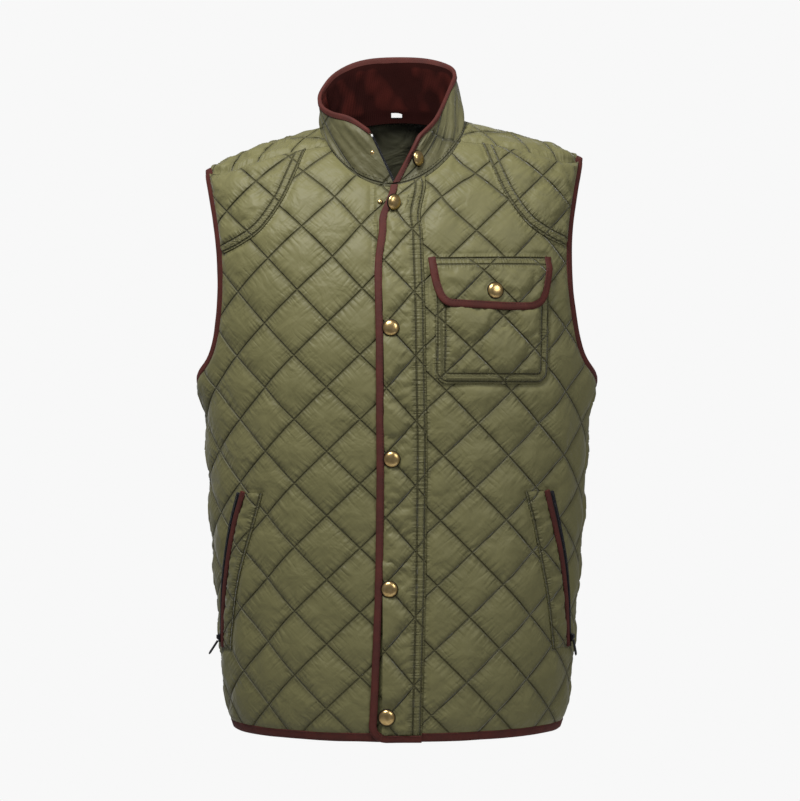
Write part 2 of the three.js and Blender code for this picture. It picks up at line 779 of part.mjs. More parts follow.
// Direction away from the cloth at each rim point; clockwise outlines have it on their left
function withOffs(nodes, turn = 1) {
  return nodes.map((node, i) => {
    const a = nodes[Math.max(0, i - 1)].at;
    const b = nodes[Math.min(nodes.length - 1, i + 1)].at;
    const length = Math.hypot(b[0] - a[0], b[1] - a[1]);
    return {
      at: node.at, off: [-(b[1] - a[1]) / length * turn, (b[0] - a[0]) / length * turn],
    };
  });
}

// Section of a binding folded over a cloth edge, or laid on a panel when it has a base
function foldedRing(corner, width, base, wall, clear = SEAM_GAP) {
  const top = base + wall + BINDING_THICK;
  const low = base > 0 ? base : -BINDING_THICK;
  return [
    corner(clear, low),
    corner(width - 1.4, low),
    corner(width, mix(low, top, 0.3)),
    corner(width, mix(low, top, 0.7)),
    corner(width - 1.4, top),
    corner(clear, top),
  ];
}

function bindingRings(face, stations, width, base = 0, wall = WALL) {
  return stations.map(({ at, off }) => foldedRing(
    (share, height) => clothPoint(face, at[0] + off[0] * share, at[1] + off[1] * share, height),
    width, base, wall, BINDING_CLEAR));
}

const vest = new THREE.Group();
function place(name, geometry) {
  const mesh = new THREE.Mesh(geometry);
  mesh.name = name;
  vest.add(mesh);
}

// Outlines of the pieces that are sewn on the fronts
const placketEdgeAt = (q) => fromTable(PLACKET_EDGE, 'q', q, 'p');
const HEM_Q = HEM_Z - CHEST_Z;
const PLACKET_NECK_OFF = 1.3;

function placketOutline() {
  const neck = neckEdge('left', PLACKET_NECK_OFF, 0.8, 30);
  const left = [];
  const bottom = HEM_Q + FRONT_BINDING;
  const corner = 12;
  const leftAt = (q) => placketEdgeAt(q) + FRONT_BINDING;
  for (let i = 0; i <= 5; i += 1) {
    const turn = i / 5 * Math.PI / 2;
    left.push([leftAt(bottom) + corner * (1 - Math.sin(turn)), bottom + corner * (1 - Math.cos(turn))]);
  }
  const top = neck[0][1] - 1;
  for (let i = 1; i <= 30; i += 1) {
    const q = mix(bottom + corner, top, i / 30);
    left.push([leftAt(q), q]);
  }
  const end = heightOf(neck, PLACKET_SEAM);
  return [
    stretch('edge', left),
    stretch('neck', [left[left.length - 1],
      ...neck.filter(([p]) => p > leftAt(top) + 3 && p < PLACKET_SEAM - 2), [PLACKET_SEAM, end]]),
    stretch('seam', [[PLACKET_SEAM, end], [PLACKET_SEAM, bottom]]),
    stretch('hem', [[PLACKET_SEAM, bottom], left[0]]),
  ];
}

function patchOutline() {
  const off = ARMHOLE_BINDING + 1.5;
  const inner = splineThrough(SHOULDER_PATCH.map((row) => [row.p, row.q]), 8);
  const first = inner[0];
  const last = inner[inner.length - 1];
  const edge = armholeLine('left', off).filter(([, q]) => q > last[1] + 2);
  const tipX = ARMHOLE_TIP_X - off;
  const shoulder = shoulderEdge('left', SHOULDER_PATCH_X, tipX, 1.5)
    .filter(([p]) => p > first[0] + 2);
  edge[0] = shoulder[shoulder.length - 1];
  return [
    stretch('inner', [...inner].reverse()),
    stretch('shoulder', [first, ...shoulder]),
    stretch('armhole', [...edge, last]),
  ];
}

function roundedPocket() {
  const { left, right, bottom, top, corner, lean } = POCKET;
  const leaned = ([p, q]) => [p + lean * (q - bottom) - 1.5, q];
  const arc = (cp, cq, from) => [0, 1, 2, 3, 4].map((i) => {
    const turn = from - i / 4 * Math.PI / 2;
    return [cp + corner * Math.cos(turn), cq + corner * Math.sin(turn)];
  });
  const bottomRight = arc(right - corner, bottom + corner, 0);
  const bottomLeft = arc(left + corner, bottom + corner, -Math.PI / 2);
  return [
    stretch('top', [[left, top], [right, top]].map(leaned)),
    stretch('right', [[right, top], bottomRight[0]].map(leaned)),
    stretch('bottom', [...bottomRight, ...bottomLeft].map(leaned)),
    stretch('left', [bottomLeft[4], [left, top]].map(leaned)),
  ];
}

function flapOutline() {
  const line = splineThrough(FLAP_BINDING_LINE.map((row) => [row.p, row.q]), 7);
  const edge = movedLine(line, FLAP_BINDING / 2);
  return [
    stretch('top', [edge[0], edge[edge.length - 1]]),
    stretch('edge', [...edge].reverse()),
  ];
}

// Bands beside a side pocket: shares of the way from the stitched line out to the bound edge
function weltOutline(table, from, to) {
  const low = table[table.length - 1].q;
  const high = table[0].q;
  const line = (pick) => {
    const points = [];
    for (let i = 0; i <= 16; i += 1) {
      const q = mix(low, high, i / 16);
      points.push([pick(q), q]);
    }
    return points;
  };
  const inner = line(from);
  const outer = line(to).reverse();
  return [
    stretch('inner', inner),
    stretch('top', [inner[inner.length - 1], outer[0]]),
    stretch('outer', outer),
    stretch('foot', [outer[outer.length - 1], inner[0]]),
  ];
}

const weltSeam = (table) => (q) => fromTable(table, 'q', q, 'seam');
const weltEdge = (table, off) => (q) => fromTable(table, 'q', q, 'edge') + off;

// A circle of cloth pressed flat round a stud
function around(p, q, radius) {
  const points = [];
  for (let i = 0; i <= 12; i += 1) {
    const turn = i / 6 * Math.PI;
    points.push([p + radius * Math.cos(turn), q - radius * Math.sin(turn)]);
  }
  return [stretch('ring', points)];
}

// Body panels
const placket = placketOutline();
const patch = patchOutline();
const pocket = roundedPocket();
const flap = flapOutline();
const welts = {
  right: weltOutline(WELT_RIGHT, weltSeam(WELT_RIGHT), weltEdge(WELT_RIGHT, -WELT_BINDING)),
  left: weltOutline(WELT_LEFT, weltSeam(WELT_LEFT), weltEdge(WELT_LEFT, -WELT_BINDING)),
};
const zips = {
  right: weltOutline(WELT_RIGHT, weltEdge(WELT_RIGHT, 0.6), weltEdge(WELT_RIGHT, 0.6 + ZIP_WIDE)),
  left: weltOutline(WELT_LEFT, weltEdge(WELT_LEFT, 0.6), weltEdge(WELT_LEFT, 0.6 + ZIP_WIDE)),
};
const backMesh = quilted('back', wholeBack(bodyOutline('back', 0)), QUILT_BACK);
const rightMesh = quilted('right', mirrorOutline(bodyOutline('right', -RIGHT_EDGE)), QUILT_RIGHT, {
  covers: [placket, mirrorOutline(patch), mirrorOutline(welts.right), mirrorOutline(zips.right)],
});
const leftMesh = quilted('left', bodyOutline('left', LEFT_EDGE), QUILT_LEFT, {
  covers: [placket, patch, pocket, flap, welts.left, zips.left],
});
place('back', backMesh.geometry);
place('front_right', rightMesh.geometry);
place('front_left', leftMesh.geometry);

// Lining, a plain cloth hung just inside the panels on a coarse lattice
const LINING_GAP = 2.8;
const LINING_RIM_GAP = 1.7;
const LINING_WALL = 1.2;
const LINING_INSET = 4.5;
const LINING_STEP = 52;
function lining(name, face, outline) {
  const mesh = lattice(outline, [0, 0], LINING_STEP, LINING_STEP);
  const over = (node) => -foldHeight(face, node.at[0], node.at[1])
    - (node.edge && node.at[1] > 60 ? LINING_RIM_GAP : LINING_GAP);
  place(name, clothShell(face, mesh, (node) => over(node) - LINING_WALL, over));
}
lining('lining_back', 'back', wholeBack(bodyOutline('back', 0, { neckOff: 5.5, inset: LINING_INSET })));
lining('lining_right', 'right',
  mirrorOutline(bodyOutline('right', -RIGHT_EDGE + 4, { neckOff: 8, inset: LINING_INSET })));
lining('lining_left', 'left',
  bodyOutline('left', LEFT_EDGE + 4, { neckOff: 8, inset: LINING_INSET }));

// Placket down the closed front, and its bound edge
const placketMesh = quilted('left', placket, QUILT_PLACKET, {
  base: ON_PANEL, puff: 3.2, covers: SNAPS.map((snap) => around(snap.p, snap.q, 4)),
});
place('placket', placketMesh.geometry);
const placketRim = withOffs([
  ...rimOf(placketMesh.mesh, 'hem'), ...toCorner(placketMesh.mesh, 'edge', 'neck'),
]);
place('placket_binding', sweep(bindingRings('left', placketRim, FRONT_BINDING, ON_PANEL)));

// Shoulder patches
for (const side of ['right', 'left']) {
  const outline = side === 'right' ? mirrorOutline(patch) : patch;
  const crossing = side === 'right' ? QUILT_RIGHT : QUILT_LEFT;
  place(`shoulder_patch_${side}`,
    quilted(side, outline, crossing, { base: ON_PANEL - 0.4, wall: 1.6, puff: 2.6 }).geometry);
}

// Chest pocket, flap and the flap's binding
place('chest_pocket', quilted('left', pocket, QUILT_POCKET, {
  base: ON_PANEL, wall: 1.8, puff: 3, covers: [flap],
}).geometry);
const FLAP_BASE = ON_PANEL + 2.9;
const flapMesh = quilted('left', flap, QUILT_FLAP, {
  base: FLAP_BASE, wall: 1.8, puff: 2.4, covers: [around(FLAP_SNAP.p, FLAP_SNAP.q, 4)],
});
place('chest_flap', flapMesh.geometry);
const flapRim = withOffs(toCorner(flapMesh.mesh, 'edge', 'top'));
place('flap_binding', sweep(bindingRings('left', flapRim, FLAP_BINDING, FLAP_BASE, 1.8)));

// Side pockets: welt, its binding, and the zip beside it
for (const side of ['right', 'left']) {
  const turned = (outline) => (side === 'right' ? mirrorOutline(outline) : outline);
  const crossing = side === 'right' ? QUILT_RIGHT : QUILT_LEFT;
  const welt = quilted(side, turned(welts[side]), crossing, {
    base: ON_PANEL, wall: 1.6, puff: 1.6,
  });
  place(`side_welt_${side}`, welt.geometry);
  const rim = withOffs(toCorner(welt.mesh, 'outer', 'foot'), side === 'right' ? -1 : 1);
  place(`welt_binding_${side}`, sweep(bindingRings(side, rim, WELT_BINDING, ON_PANEL, 1.6)));
  const tape = lattice(turned(zips[side]), crossing, ZIP_WIDE, STEP_Q);
  place(`side_zip_${side}`,
    clothShell(side, tape, () => ON_PANEL, () => ON_PANEL + 1.2));
}

// Bindings round the armholes, and along the hem from front edge to front edge
for (const side of ['right', 'left']) {
  const front = side === 'right' ? rightMesh : leftMesh;
  const ahead = bindingRings(side,
    withOffs(toCorner(front.mesh, 'armhole', 'side'), side === 'right' ? -1 : 1), ARMHOLE_BINDING);
  const names = side === 'right' ? ['armhole2', 'shoulder2'] : ['armhole', 'side'];
  const behind = bindingRings('back',
    withOffs(toCorner(backMesh.mesh, ...names)), ARMHOLE_BINDING);
  if (side === 'left') behind.reverse();
  place(`armhole_binding_${side}`, sweep([...ahead, ...behind], true));
}
const hemRight = withOffs(toCorner(rightMesh.mesh, 'hem', 'front'), -1);
const hemLeft = withOffs(toCorner(leftMesh.mesh, 'hem', 'front'));
const hemBack = withOffs([
  ...rimOf(backMesh.mesh, 'hem'), ...toCorner(backMesh.mesh, 'hem2', 'side2'),
]);
const down = [0, -1];
for (const station of [...hemRight, ...hemLeft, ...hemBack]) station.off = down;
place('hem_binding', sweep([
  ...bindingRings('left', hemLeft, HEM_BINDING).reverse(),
  ...bindingRings('back', hemBack, HEM_BINDING),
  ...bindingRings('right', hemRight, HEM_BINDING),
]));

// Zip between the fronts, under the placket
const zipRings = [];
for (let i = 0; i <= 34; i += 1) {
  const q = mix(HEM_Q + 2, 60, i / 34);
  const ring = [[-1.3, 0], [1.3, 0], [1.3, 2.6], [-1.3, 2.6]];
  zipRings.push(ring.map(([p, height]) => clothPoint('left', ZIP_LINE + p, q, height)));
}
place('front_zip', sweep(zipRings));

// Collar: a quilted band and its lining, standing on the neckline
const COLLAR_STEPS = 34;
const COLLAR_RISE = 4;
const collarTop = new THREE.CatmullRomCurve3(
  COLLAR_TOP.map((row) => new THREE.Vector3(row.x, row.y, row.z)), false, 'centripetal');
collarTop.arcLengthDivisions = 400;
const COLLAR_FOOT = new THREE.CatmullRomCurve3(Array.from({ length: 121 }, (_, i) => {
  const turn = -mix(0.0004, 2 * Math.PI - 0.0004, i / 120);
  const [x, y] = neckPoint(turn, 0);
  return hang(x, y, archHeight(x, y));
}));
COLLAR_FOOT.arcLengthDivisions = 600;

function collarLine(s, v) {
  const foot = COLLAR_FOOT.getPointAt(clamp(s, 0, 1));
  const top = collarTop.getPointAt(clamp(s, 0, 1));
  return foot.lerp(top, v);
}

function collarPoint(s, v, height, alongOff = 0, upOff = 0) {
  const at = collarLine(s, v);
  const along = collarLine(s + 0.004, v).sub(collarLine(s - 0.004, v)).normalize();
  const up = collarLine(s, 1).sub(collarLine(s, 0)).normalize();
  const out = along.clone().cross(up).normalize();
  return at.addScaledVector(out, -height).addScaledVector(along, alongOff).addScaledVector(up, upOff);
}

const COLLAR_V = 1 - COLLAR_BINDING / 64;
const COLLAR_END = 1 - COLLAR_BINDING / 460;
function collarShell(from, to, puff) {
  const [low, high, triangles] = [[], [], []];
  for (let i = 0; i <= COLLAR_STEPS; i += 1) {
    for (let j = 0; j <= COLLAR_RISE; j += 1) {
      const s = mix(0, COLLAR_END, i / COLLAR_STEPS);
      const v = mix(0.005, COLLAR_V, j / COLLAR_RISE);
      const edge = i === 0 || i === COLLAR_STEPS || j === 0 || j === COLLAR_RISE;
      low.push(collarPoint(s, v, from));
      high.push(collarPoint(s, v, to + (edge ? 0 : puff * ((i + j) % 2))));
      if (i === COLLAR_STEPS || j === COLLAR_RISE) continue;
      const a = i * (COLLAR_RISE + 1) + j;
      const b = a + COLLAR_RISE + 1;
      triangles.push([a, b, b + 1], [a, b + 1, a + 1]);
    }
  }
  return facingOut(shell(low, high, triangles, false));
}
const OUTER_FROM = COLLAR_LINING + SEAM_GAP;
place('collar_lining', collarShell(0, COLLAR_LINING, 0));
place('collar', collarShell(OUTER_FROM, OUTER_FROM + COLLAR_OUTER, 1.2));

// Binding along the collar's top edge and down the end that snaps over
const collarWall = OUTER_FROM + COLLAR_OUTER;
const COLLAR_CLEAR = 1.5;
const collarRings = [];
for (let i = 0; i <= COLLAR_STEPS; i += 1) {
  const s = mix(0, COLLAR_END, i / COLLAR_STEPS);
  collarRings.push(foldedRing(
    (share, height) => collarPoint(s, COLLAR_V, height, 0, share),
    COLLAR_BINDING, 0, collarWall, COLLAR_CLEAR));
}
collarRings.push(foldedRing(
  (share, height) => collarPoint(COLLAR_END, COLLAR_V, height, share * 0.75, share * 0.75),
  COLLAR_BINDING, 0, collarWall, COLLAR_CLEAR));
for (let j = 4; j >= 0; j -= 1) {
  collarRings.push(foldedRing(
    (share, height) => collarPoint(COLLAR_END, mix(0.03, COLLAR_V, j / 4), height, share, 0),
    COLLAR_BINDING, 0, collarWall, COLLAR_CLEAR));
}
place('collar_binding', sweep(collarRings));

// Zip coil on the collar's other end
const coilRings = [];
for (let j = 0; j <= 4; j += 1) {
  const v = mix(0.03, COLLAR_V - 0.02, j / 4);
  coilRings.push([[0.3, 0.6], [3, 0.6], [3, 3.2], [0.3, 3.2]].map(
    ([off, height]) => collarPoint(0, v, height, -off, 0)));
}
place('collar_zip', sweep(coilRings));

// Blank neck label, hanging from the collar's seam
const label = new THREE.BoxGeometry(13, 0.7, 9);
label.translate(3, 60.9, 23.5);
label.deleteAttribute('normal');
label.deleteAttribute('uv');
place('neck_label', mergeVertices(label));

// Domed press-stud caps, seated on the cloth
function stud(name, at, out, radius, height, sides = 14) {
  const profile = [
    [0, 0], [radius * 0.8, 0], [radius, height * 0.16], [radius * 0.97, height * 0.36],
    [radius * 0.78, height * 0.72], [radius * 0.42, height * 0.94], [0, height],
  ];
  const geometry = new THREE.LatheGeometry(profile.map(([r, y]) => new THREE.Vector2(r, y)), sides);
  geometry.deleteAttribute('normal');
  geometry.deleteAttribute('uv');
  const turn = new THREE.Quaternion().setFromUnitVectors(new THREE.Vector3(0, 1, 0), out);
  geometry.applyQuaternion(turn);
  geometry.translate(at.x, at.y, at.z);
  place(name, facingOut(mergeVertices(geometry, 1e-3)));
}
for (const snap of SNAPS) {
  const height = ON_PANEL + WALL + UNDER_PUFF * 3.2 + snap.seat;
  stud(snap.name, clothPoint('left', snap.p, snap.q, height), outward('left', snap.p, snap.q),
    SNAP_RADIUS, SNAP_HEIGHT);
}
stud('snap_flap', clothPoint('left', FLAP_SNAP.p, FLAP_SNAP.q, FLAP_BASE + 2.4),
  outward('left', FLAP_SNAP.p, FLAP_SNAP.q), SNAP_RADIUS, SNAP_HEIGHT);
const collarOut = (s, v) => collarPoint(s, v, 1).sub(collarPoint(s, v, 0)).normalize();
stud('snap_collar', collarPoint(0.95, 0.5, collarWall + 1.7), collarOut(0.95, 0.5),
  SNAP_RADIUS, SNAP_HEIGHT);
stud('stud_collar', collarPoint(0.02, 0.55, collarWall + 1), collarOut(0.02, 0.55),
  STUD_RADIUS, 1.8, 8);
stud('stud_front', clothPoint('right', -5, 208, WALL + 0.5), outward('right', -5, 208),
  STUD_RADIUS, 1.8, 8);

// Sliders of the side zips, and their pull tabs on small hinges
const TAB_LONG = 19;
function hingeFrame(side, lift) {
  const table = side === 'right' ? WELT_RIGHT : WELT_LEFT;
  const sign = side === 'right' ? -1 : 1;
  const q = table[table.length - 1].q + 10;
  const at = (height, off) => clothPoint(
    side, sign * (fromTable(table, 'q', q + off, 'edge') + 0.6 + ZIP_WIDE / 2), q + off, height);
  const foot = at(ON_PANEL + 1.2 + 0.35, 0);
  const out = outward(side, sign * (fromTable(table, 'q', q, 'edge') + 3.6), q);
  const down = at(ON_PANEL + 1.2 + 0.35, -4).sub(foot).normalize();
  const across = down.clone().cross(out).normalize();
  const along = out.clone().cross(across).normalize();
  return { frame: new THREE.Matrix4().makeBasis(across, along, out).setPosition(foot), lift };
}

function extruded(points, depth, matrix) {
  const shape = new THREE.Shape(points.map(([x, y]) => new THREE.Vector2(x, y)));
  const geometry = new THREE.ExtrudeGeometry(shape, { depth, bevelEnabled: false, steps: 1 });
  geometry.deleteAttribute('normal');
  geometry.deleteAttribute('uv');
  geometry.translate(0, 0, -depth / 2);
  // The profile is drawn along the zip and out from it, and runs across
  const stand = new THREE.Matrix4().makeBasis(
    new THREE.Vector3(0, 1, 0), new THREE.Vector3(0, 0, 1), new THREE.Vector3(1, 0, 0));
  geometry.applyMatrix4(stand);
  geometry.applyMatrix4(matrix);
  return facingOut(mergeVertices(geometry, 1e-3));
}

for (const [side, lift] of [['right', 0.62], ['left', 0.16]]) {
  const { frame } = hingeFrame(side, lift);
  // Slider seen from its side: a low body with a bridge that the tab's eye hangs from
  place(`side_slider_${side}`, extruded([
    [-4.5, 0], [4.5, 0], [4.5, 1.9], [1.2, 1.9], [1.2, 4.1], [-3.4, 4.1], [-3.4, 1.9], [-4.5, 1.9],
  ], 5.4, frame));
  const tab = [[0, -0.8], [TAB_LONG - 2.5, -0.8], [TAB_LONG, 0], [TAB_LONG - 2.5, 0.8], [0, 0.8]];
  const hinge = new THREE.Matrix4().makeTranslation(0, 3.2, 3).multiply(
    new THREE.Matrix4().makeRotationX(lift));
  place(`side_pull_${side}`, extruded(tab, 4.2, frame.clone().multiply(hinge)));
}

export default vest;
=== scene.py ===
import math

import bmesh
import bpy
import numpy as np
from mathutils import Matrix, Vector
from mathutils.bvhtree import BVHTree


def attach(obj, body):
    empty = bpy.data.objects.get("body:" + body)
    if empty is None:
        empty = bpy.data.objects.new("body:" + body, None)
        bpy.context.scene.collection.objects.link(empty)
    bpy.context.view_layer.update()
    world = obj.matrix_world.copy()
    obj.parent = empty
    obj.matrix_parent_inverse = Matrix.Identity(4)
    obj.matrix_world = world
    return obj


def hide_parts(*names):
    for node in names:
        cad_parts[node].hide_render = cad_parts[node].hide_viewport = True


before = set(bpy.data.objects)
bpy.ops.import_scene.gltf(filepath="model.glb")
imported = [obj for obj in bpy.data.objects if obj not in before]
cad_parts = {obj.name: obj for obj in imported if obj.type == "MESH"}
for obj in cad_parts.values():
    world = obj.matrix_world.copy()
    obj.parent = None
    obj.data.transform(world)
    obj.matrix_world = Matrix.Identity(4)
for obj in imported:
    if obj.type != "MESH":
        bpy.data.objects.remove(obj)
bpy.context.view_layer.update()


# Back panel. One piece of olive taffeta over thin wadding, quilted in two inch diamonds, that
# runs over the shoulders to a seam a little ahead of their tops. It is drawn on the surface that
# the worn vest takes: p runs across the cloth and q up it from the chest line, in millimetres.
CHEST_Z = -300
HEM_Z = -704
RIDGE_Z = 11
RIDGE_FALL = 0.00117
NAPE_RISE = 15
NAPE_WIDTH = 60
RIDGE_BACK = 45
SHOULDER_LEAN = 0.033
BODY_SWAY = 3.5
WING_FLARE, WING_Z, WING_TALL = 7, -296, 24
SEAM_NECK_Y = -48
SEAM_BEND = 9
SIDE_SEAM_FORWARD = 12
SEAM_GAP = 0.3
ARMHOLE_BINDING = 8.5
ARMHOLE_TIP_X = 220
HEM_BINDING = 8.5

# Level, half width, depth ahead and depth behind of the cloth's inside, chest to hem
TORSO_Z, TORSO_HALF, TORSO_FRONT, TORSO_BACK = np.array([
    (-300, 226, 138, 104),
    (-335, 223, 138, 103),
    (-375, 220, 137, 102),
    (-420, 217.5, 136, 101),
    (-470, 215, 135, 101),
    (-520, 211.5, 135, 102),
    (-570, 207, 135, 104),
    (-620, 204, 135, 107),
    (-660, 200, 134, 109),
    (-690, 194, 132, 109),
    (-712, 187, 129, 107),
], float).T
HALF = TORSO_HALF[0]

# Level and distance out of an armhole's bound edge, then its foot at the side seam
ARMHOLE_Z, ARMHOLE_X = np.array([
    (-78, 214),
    (-107, 208.5),
    (-136, 204.5),
    (-165, 203),
    (-198, 203.5),
    (-229, 207),
    (-252, 211),
    (-275, 217.5),
], float).T
ARMHOLE_FOOT = [(17, 10), (0, 4)]

NECK_HALF, NECK_FRONT_Y, NECK_BACK_Y, NECK_POWER = 80, -88, 62, 2.2
NECK_SEAM_OFF = 2.2


def smooth(value, low, high):
    """A step from 0 to 1 between two values, eased at both ends."""
    t = np.clip((value - low) / (high - low), 0, 1)
    return t * t * (3 - 2 * t)


def read_table(keys, values, at):
    """A value read from a table on a smooth curve."""
    if keys[-1] < keys[0]:
        keys, values = keys[::-1], values[::-1]
    last = len(keys) - 1
    i = np.clip(np.searchsorted(keys, at) - 1, 0, last - 1)
    t = np.clip((at - keys[i]) / (keys[i + 1] - keys[i]), 0, 1)
    a, b = values[i], values[i + 1]
    before = np.where(i > 0, (b - values[np.maximum(i - 1, 0)]) / 2, b - a)
    after = np.where(i < last - 1, (values[np.minimum(i + 2, last)] - a) / 2, b - a)
    return (a * (2 * t**3 - 3 * t**2 + 1) + b * (3 * t**2 - 2 * t**3)
            + before * (t**3 - 2 * t**2 + t) + after * (t**3 - t**2))


def arch_shape(x):
    """Ridge, height, reaches and powers of the arch over the shoulder at a distance out."""
    out = np.clip(np.abs(x) / HALF, 0, 1)
    level = np.sqrt(1 - out**2)
    height = RIDGE_Z - RIDGE_FALL * x**2 + NAPE_RISE * np.exp(-(x / NAPE_WIDTH) ** 2) - CHEST_Z
    ridge = RIDGE_BACK * level**2
    return (ridge, height, TORSO_FRONT[0] * level + ridge, TORSO_BACK[0] * level - ridge,
            2 + 1.2 * out**1.5, 2.8 + 0.4 * out)


def arch_over(x):
    """The cloth's arches over the shoulder, front to back, with their running lengths."""
    x = np.atleast_1d(np.abs(x))[:, None]
    ridge, height, reach_front, reach_back, power_front, power_back = arch_shape(x)
    turn = np.linspace(0, math.pi, 161)[None]
    ahead = turn <= math.pi / 2
    power = np.where(ahead, power_front, power_back)
    reach = np.where(ahead, -reach_front, reach_back)
    y = ridge + reach * np.abs(np.cos(turn)) ** (2 / power)
    z = CHEST_Z + height * np.abs(np.sin(turn)) ** (2 / power)
    steps = np.hypot(np.diff(y, axis=1), np.diff(z, axis=1))
    run = np.concatenate([np.zeros((len(x), 1)), np.cumsum(steps, axis=1)], axis=1)
    return y, z, run


# Rows of the surface: each goes from the middle of the front round the side to the middle back
ROW_STEP = 3.0
ROW_Q = np.arange(-417, 460, ROW_STEP)
row_turn = np.linspace(0, math.pi, 129)
ROWS = np.zeros((len(ROW_Q), len(row_turn), 3))
column_y, column_z, column_run = arch_over(HALF * np.sin(row_turn))
low = ROW_Q <= 0
for k, turn in enumerate(row_turn):
    in_front = turn <= math.pi / 2
    z = CHEST_Z + ROW_Q[low]
    depth = read_table(TORSO_Z, TORSO_FRONT if in_front else TORSO_BACK, z)
    ROWS[low, k, 0] = read_table(TORSO_Z, TORSO_HALF, z) * math.sin(turn)
    ROWS[low, k, 1] = -depth * math.cos(turn)
    ROWS[low, k, 2] = z
    along = ROW_Q[~low] if in_front else column_run[k, -1] - ROW_Q[~low]
    ROWS[~low, k, 0] = HALF * math.sin(turn)
    ROWS[~low, k, 1] = np.interp(along, column_run[k], column_y[k])
    ROWS[~low, k, 2] = np.interp(along, column_run[k], column_z[k])
ROW_RUN = np.concatenate([
    np.zeros((len(ROW_Q), 1)),
    np.cumsum(np.linalg.norm(np.diff(ROWS, axis=1), axis=2), axis=1)], axis=1)


def row_length(q, share=1.0):
    """Length of a row from the middle of the front, to the side at half share or to the back."""
    return np.interp(q, ROW_Q, ROW_RUN[:, int(round(share * (len(row_turn) - 1)))])


# The fronts part at the neck: shift across, between which heights, and how far from the edge
OPENINGS = {"right": (-10.5, 60, 200, 10, 80), "left": (15, 178, 232, 40, 84)}


def opening(face, p, q):
    """How far a front's cloth is drawn aside at the open neck."""
    if face not in OPENINGS:
        return 0 * p
    shift, start, end, full, gone = OPENINGS[face]
    out = -p if face == "right" else p
    return shift * smooth(q, start, end) * (1 - smooth(out, full, gone))


def hang(points):
    """How the whole garment hangs: a lean of the shoulders, a sway and the armholes' wings."""
    x, z = points[:, 0].copy(), points[:, 2].copy()
    wing = WING_FLARE * np.exp(-(((z - WING_Z) / WING_TALL) ** 2)) * smooth(np.abs(x), 196, 226)
    points[:, 0] = x + np.sign(x) * wing + BODY_SWAY * smooth(-z, 120, 280)
    points[:, 2] = z + SHOULDER_LEAN * x * smooth(z, -280, -60)
    return points


def body_at(face, p, q):
    """Points of the inside of the cloth, in millimetres."""
    p, q = np.broadcast_arrays(np.asarray(p, float), np.asarray(q, float))
    shape = p.shape
    p, q = p.ravel(), q.ravel()
    at = p + opening(face, p, q)
    k = np.clip((q - ROW_Q[0]) / ROW_STEP, 0, len(ROW_Q) - 1.001)
    low = k.astype(int)
    points = np.zeros((len(p), 3))
    for row in np.unique(low):
        here = low == row
        for step, weight in ((0, 1 - (k - low)[here]), (1, (k - low)[here])):
            run = ROW_RUN[row + step]
            along = np.abs(at[here])
            if face == "back":
                along = run[-1] - along
            for axis in range(3):
                points[here, axis] += weight * np.interp(along, run, ROWS[row + step, :, axis])
    points[:, 0] *= np.where(at < 0, -1, 1)
    return hang(points).reshape(shape + (3,))


NEAR_BY = 1.5


def outward(face, p, q):
    """Directions out of the cloth, from points near by on it."""
    across = body_at(face, p + NEAR_BY, q) - body_at(face, p - NEAR_BY, q)
    up = body_at(face, p, q + NEAR_BY) - body_at(face, p, q - NEAR_BY)
    normal = np.cross(across, up)
    normal /= np.linalg.norm(normal, axis=-1, keepdims=True)
    return -normal if face == "back" else normal


# Soft folds on the body: place across and up, half width, half length, height and lean
FRONT_FOLDS = [
    (-150, -60, 16, 70, 3.2, 0.3), (-95, -330, 20, 60, 3.0, -0.2), (-190, -250, 15, 90, 3.0, 0.05),
    (128, -200, 17, 80, 3.2, -0.12), (75, -320, 20, 60, 2.6, 0.25), (200, -60, 14, 60, 3.0, -0.25),
    (60, 190, 13, 45, 2.4, 0.35),
]
BACK_FOLDS = [
    (-120, 40, 20, 90, 3.4, 0.3), (125, 30, 20, 90, 3.4, -0.3),
    (-60, -260, 24, 100, 3.0, 0.1), (90, -280, 22, 90, 3.0, -0.1),
]


def fold_height(face, p, q):
    """How far the soft folds of the worn vest stand out."""
    height = 0 * p
    for place, level, wide, tall, rise, lean in BACK_FOLDS if face == "back" else FRONT_FOLDS:
        up = q - level
        height = height + rise * np.exp(-(((p - place - lean * up) / wide) ** 2) - (up / tall) ** 2)
    return height


def cloth_at(face, at, height):
    """Points at a height over the inside of the cloth."""
    p, q = np.asarray(at, float).reshape(-1, 2).T
    lift = np.asarray(height, float) + fold_height(face, p, q)
    return body_at(face, p, q) + outward(face, p, q) * np.reshape(lift, (-1, 1))


def pattern_at(face, x, y=None, z=None):
    """Pattern coordinates of a point given from the front by its level, or in plan by its depth."""
    line_y, line_z, run = (line[0] for line in arch_over(x))
    half = len(run) // 2
    if y is not None:
        along = np.interp(y, line_y, run)
    elif face == "back":
        along = np.interp(-z, -line_z[half:], run[half:])
    else:
        along = np.interp(z, line_z[:half + 1], run[:half + 1])
    q = run[-1] - along if face == "back" else along
    row = np.array([np.interp(q, ROW_Q, ROWS[:, k, 0]) for k in range(len(row_turn))])
    length = np.array([np.interp(q, ROW_Q, ROW_RUN[:, k]) for k in range(len(row_turn))])
    middle = len(row_turn) // 2
    if face == "back":
        return length[-1] - np.interp(-x, -row[middle:], length[middle:]), q
    return np.interp(x, row[:middle + 1], length[:middle + 1]), q


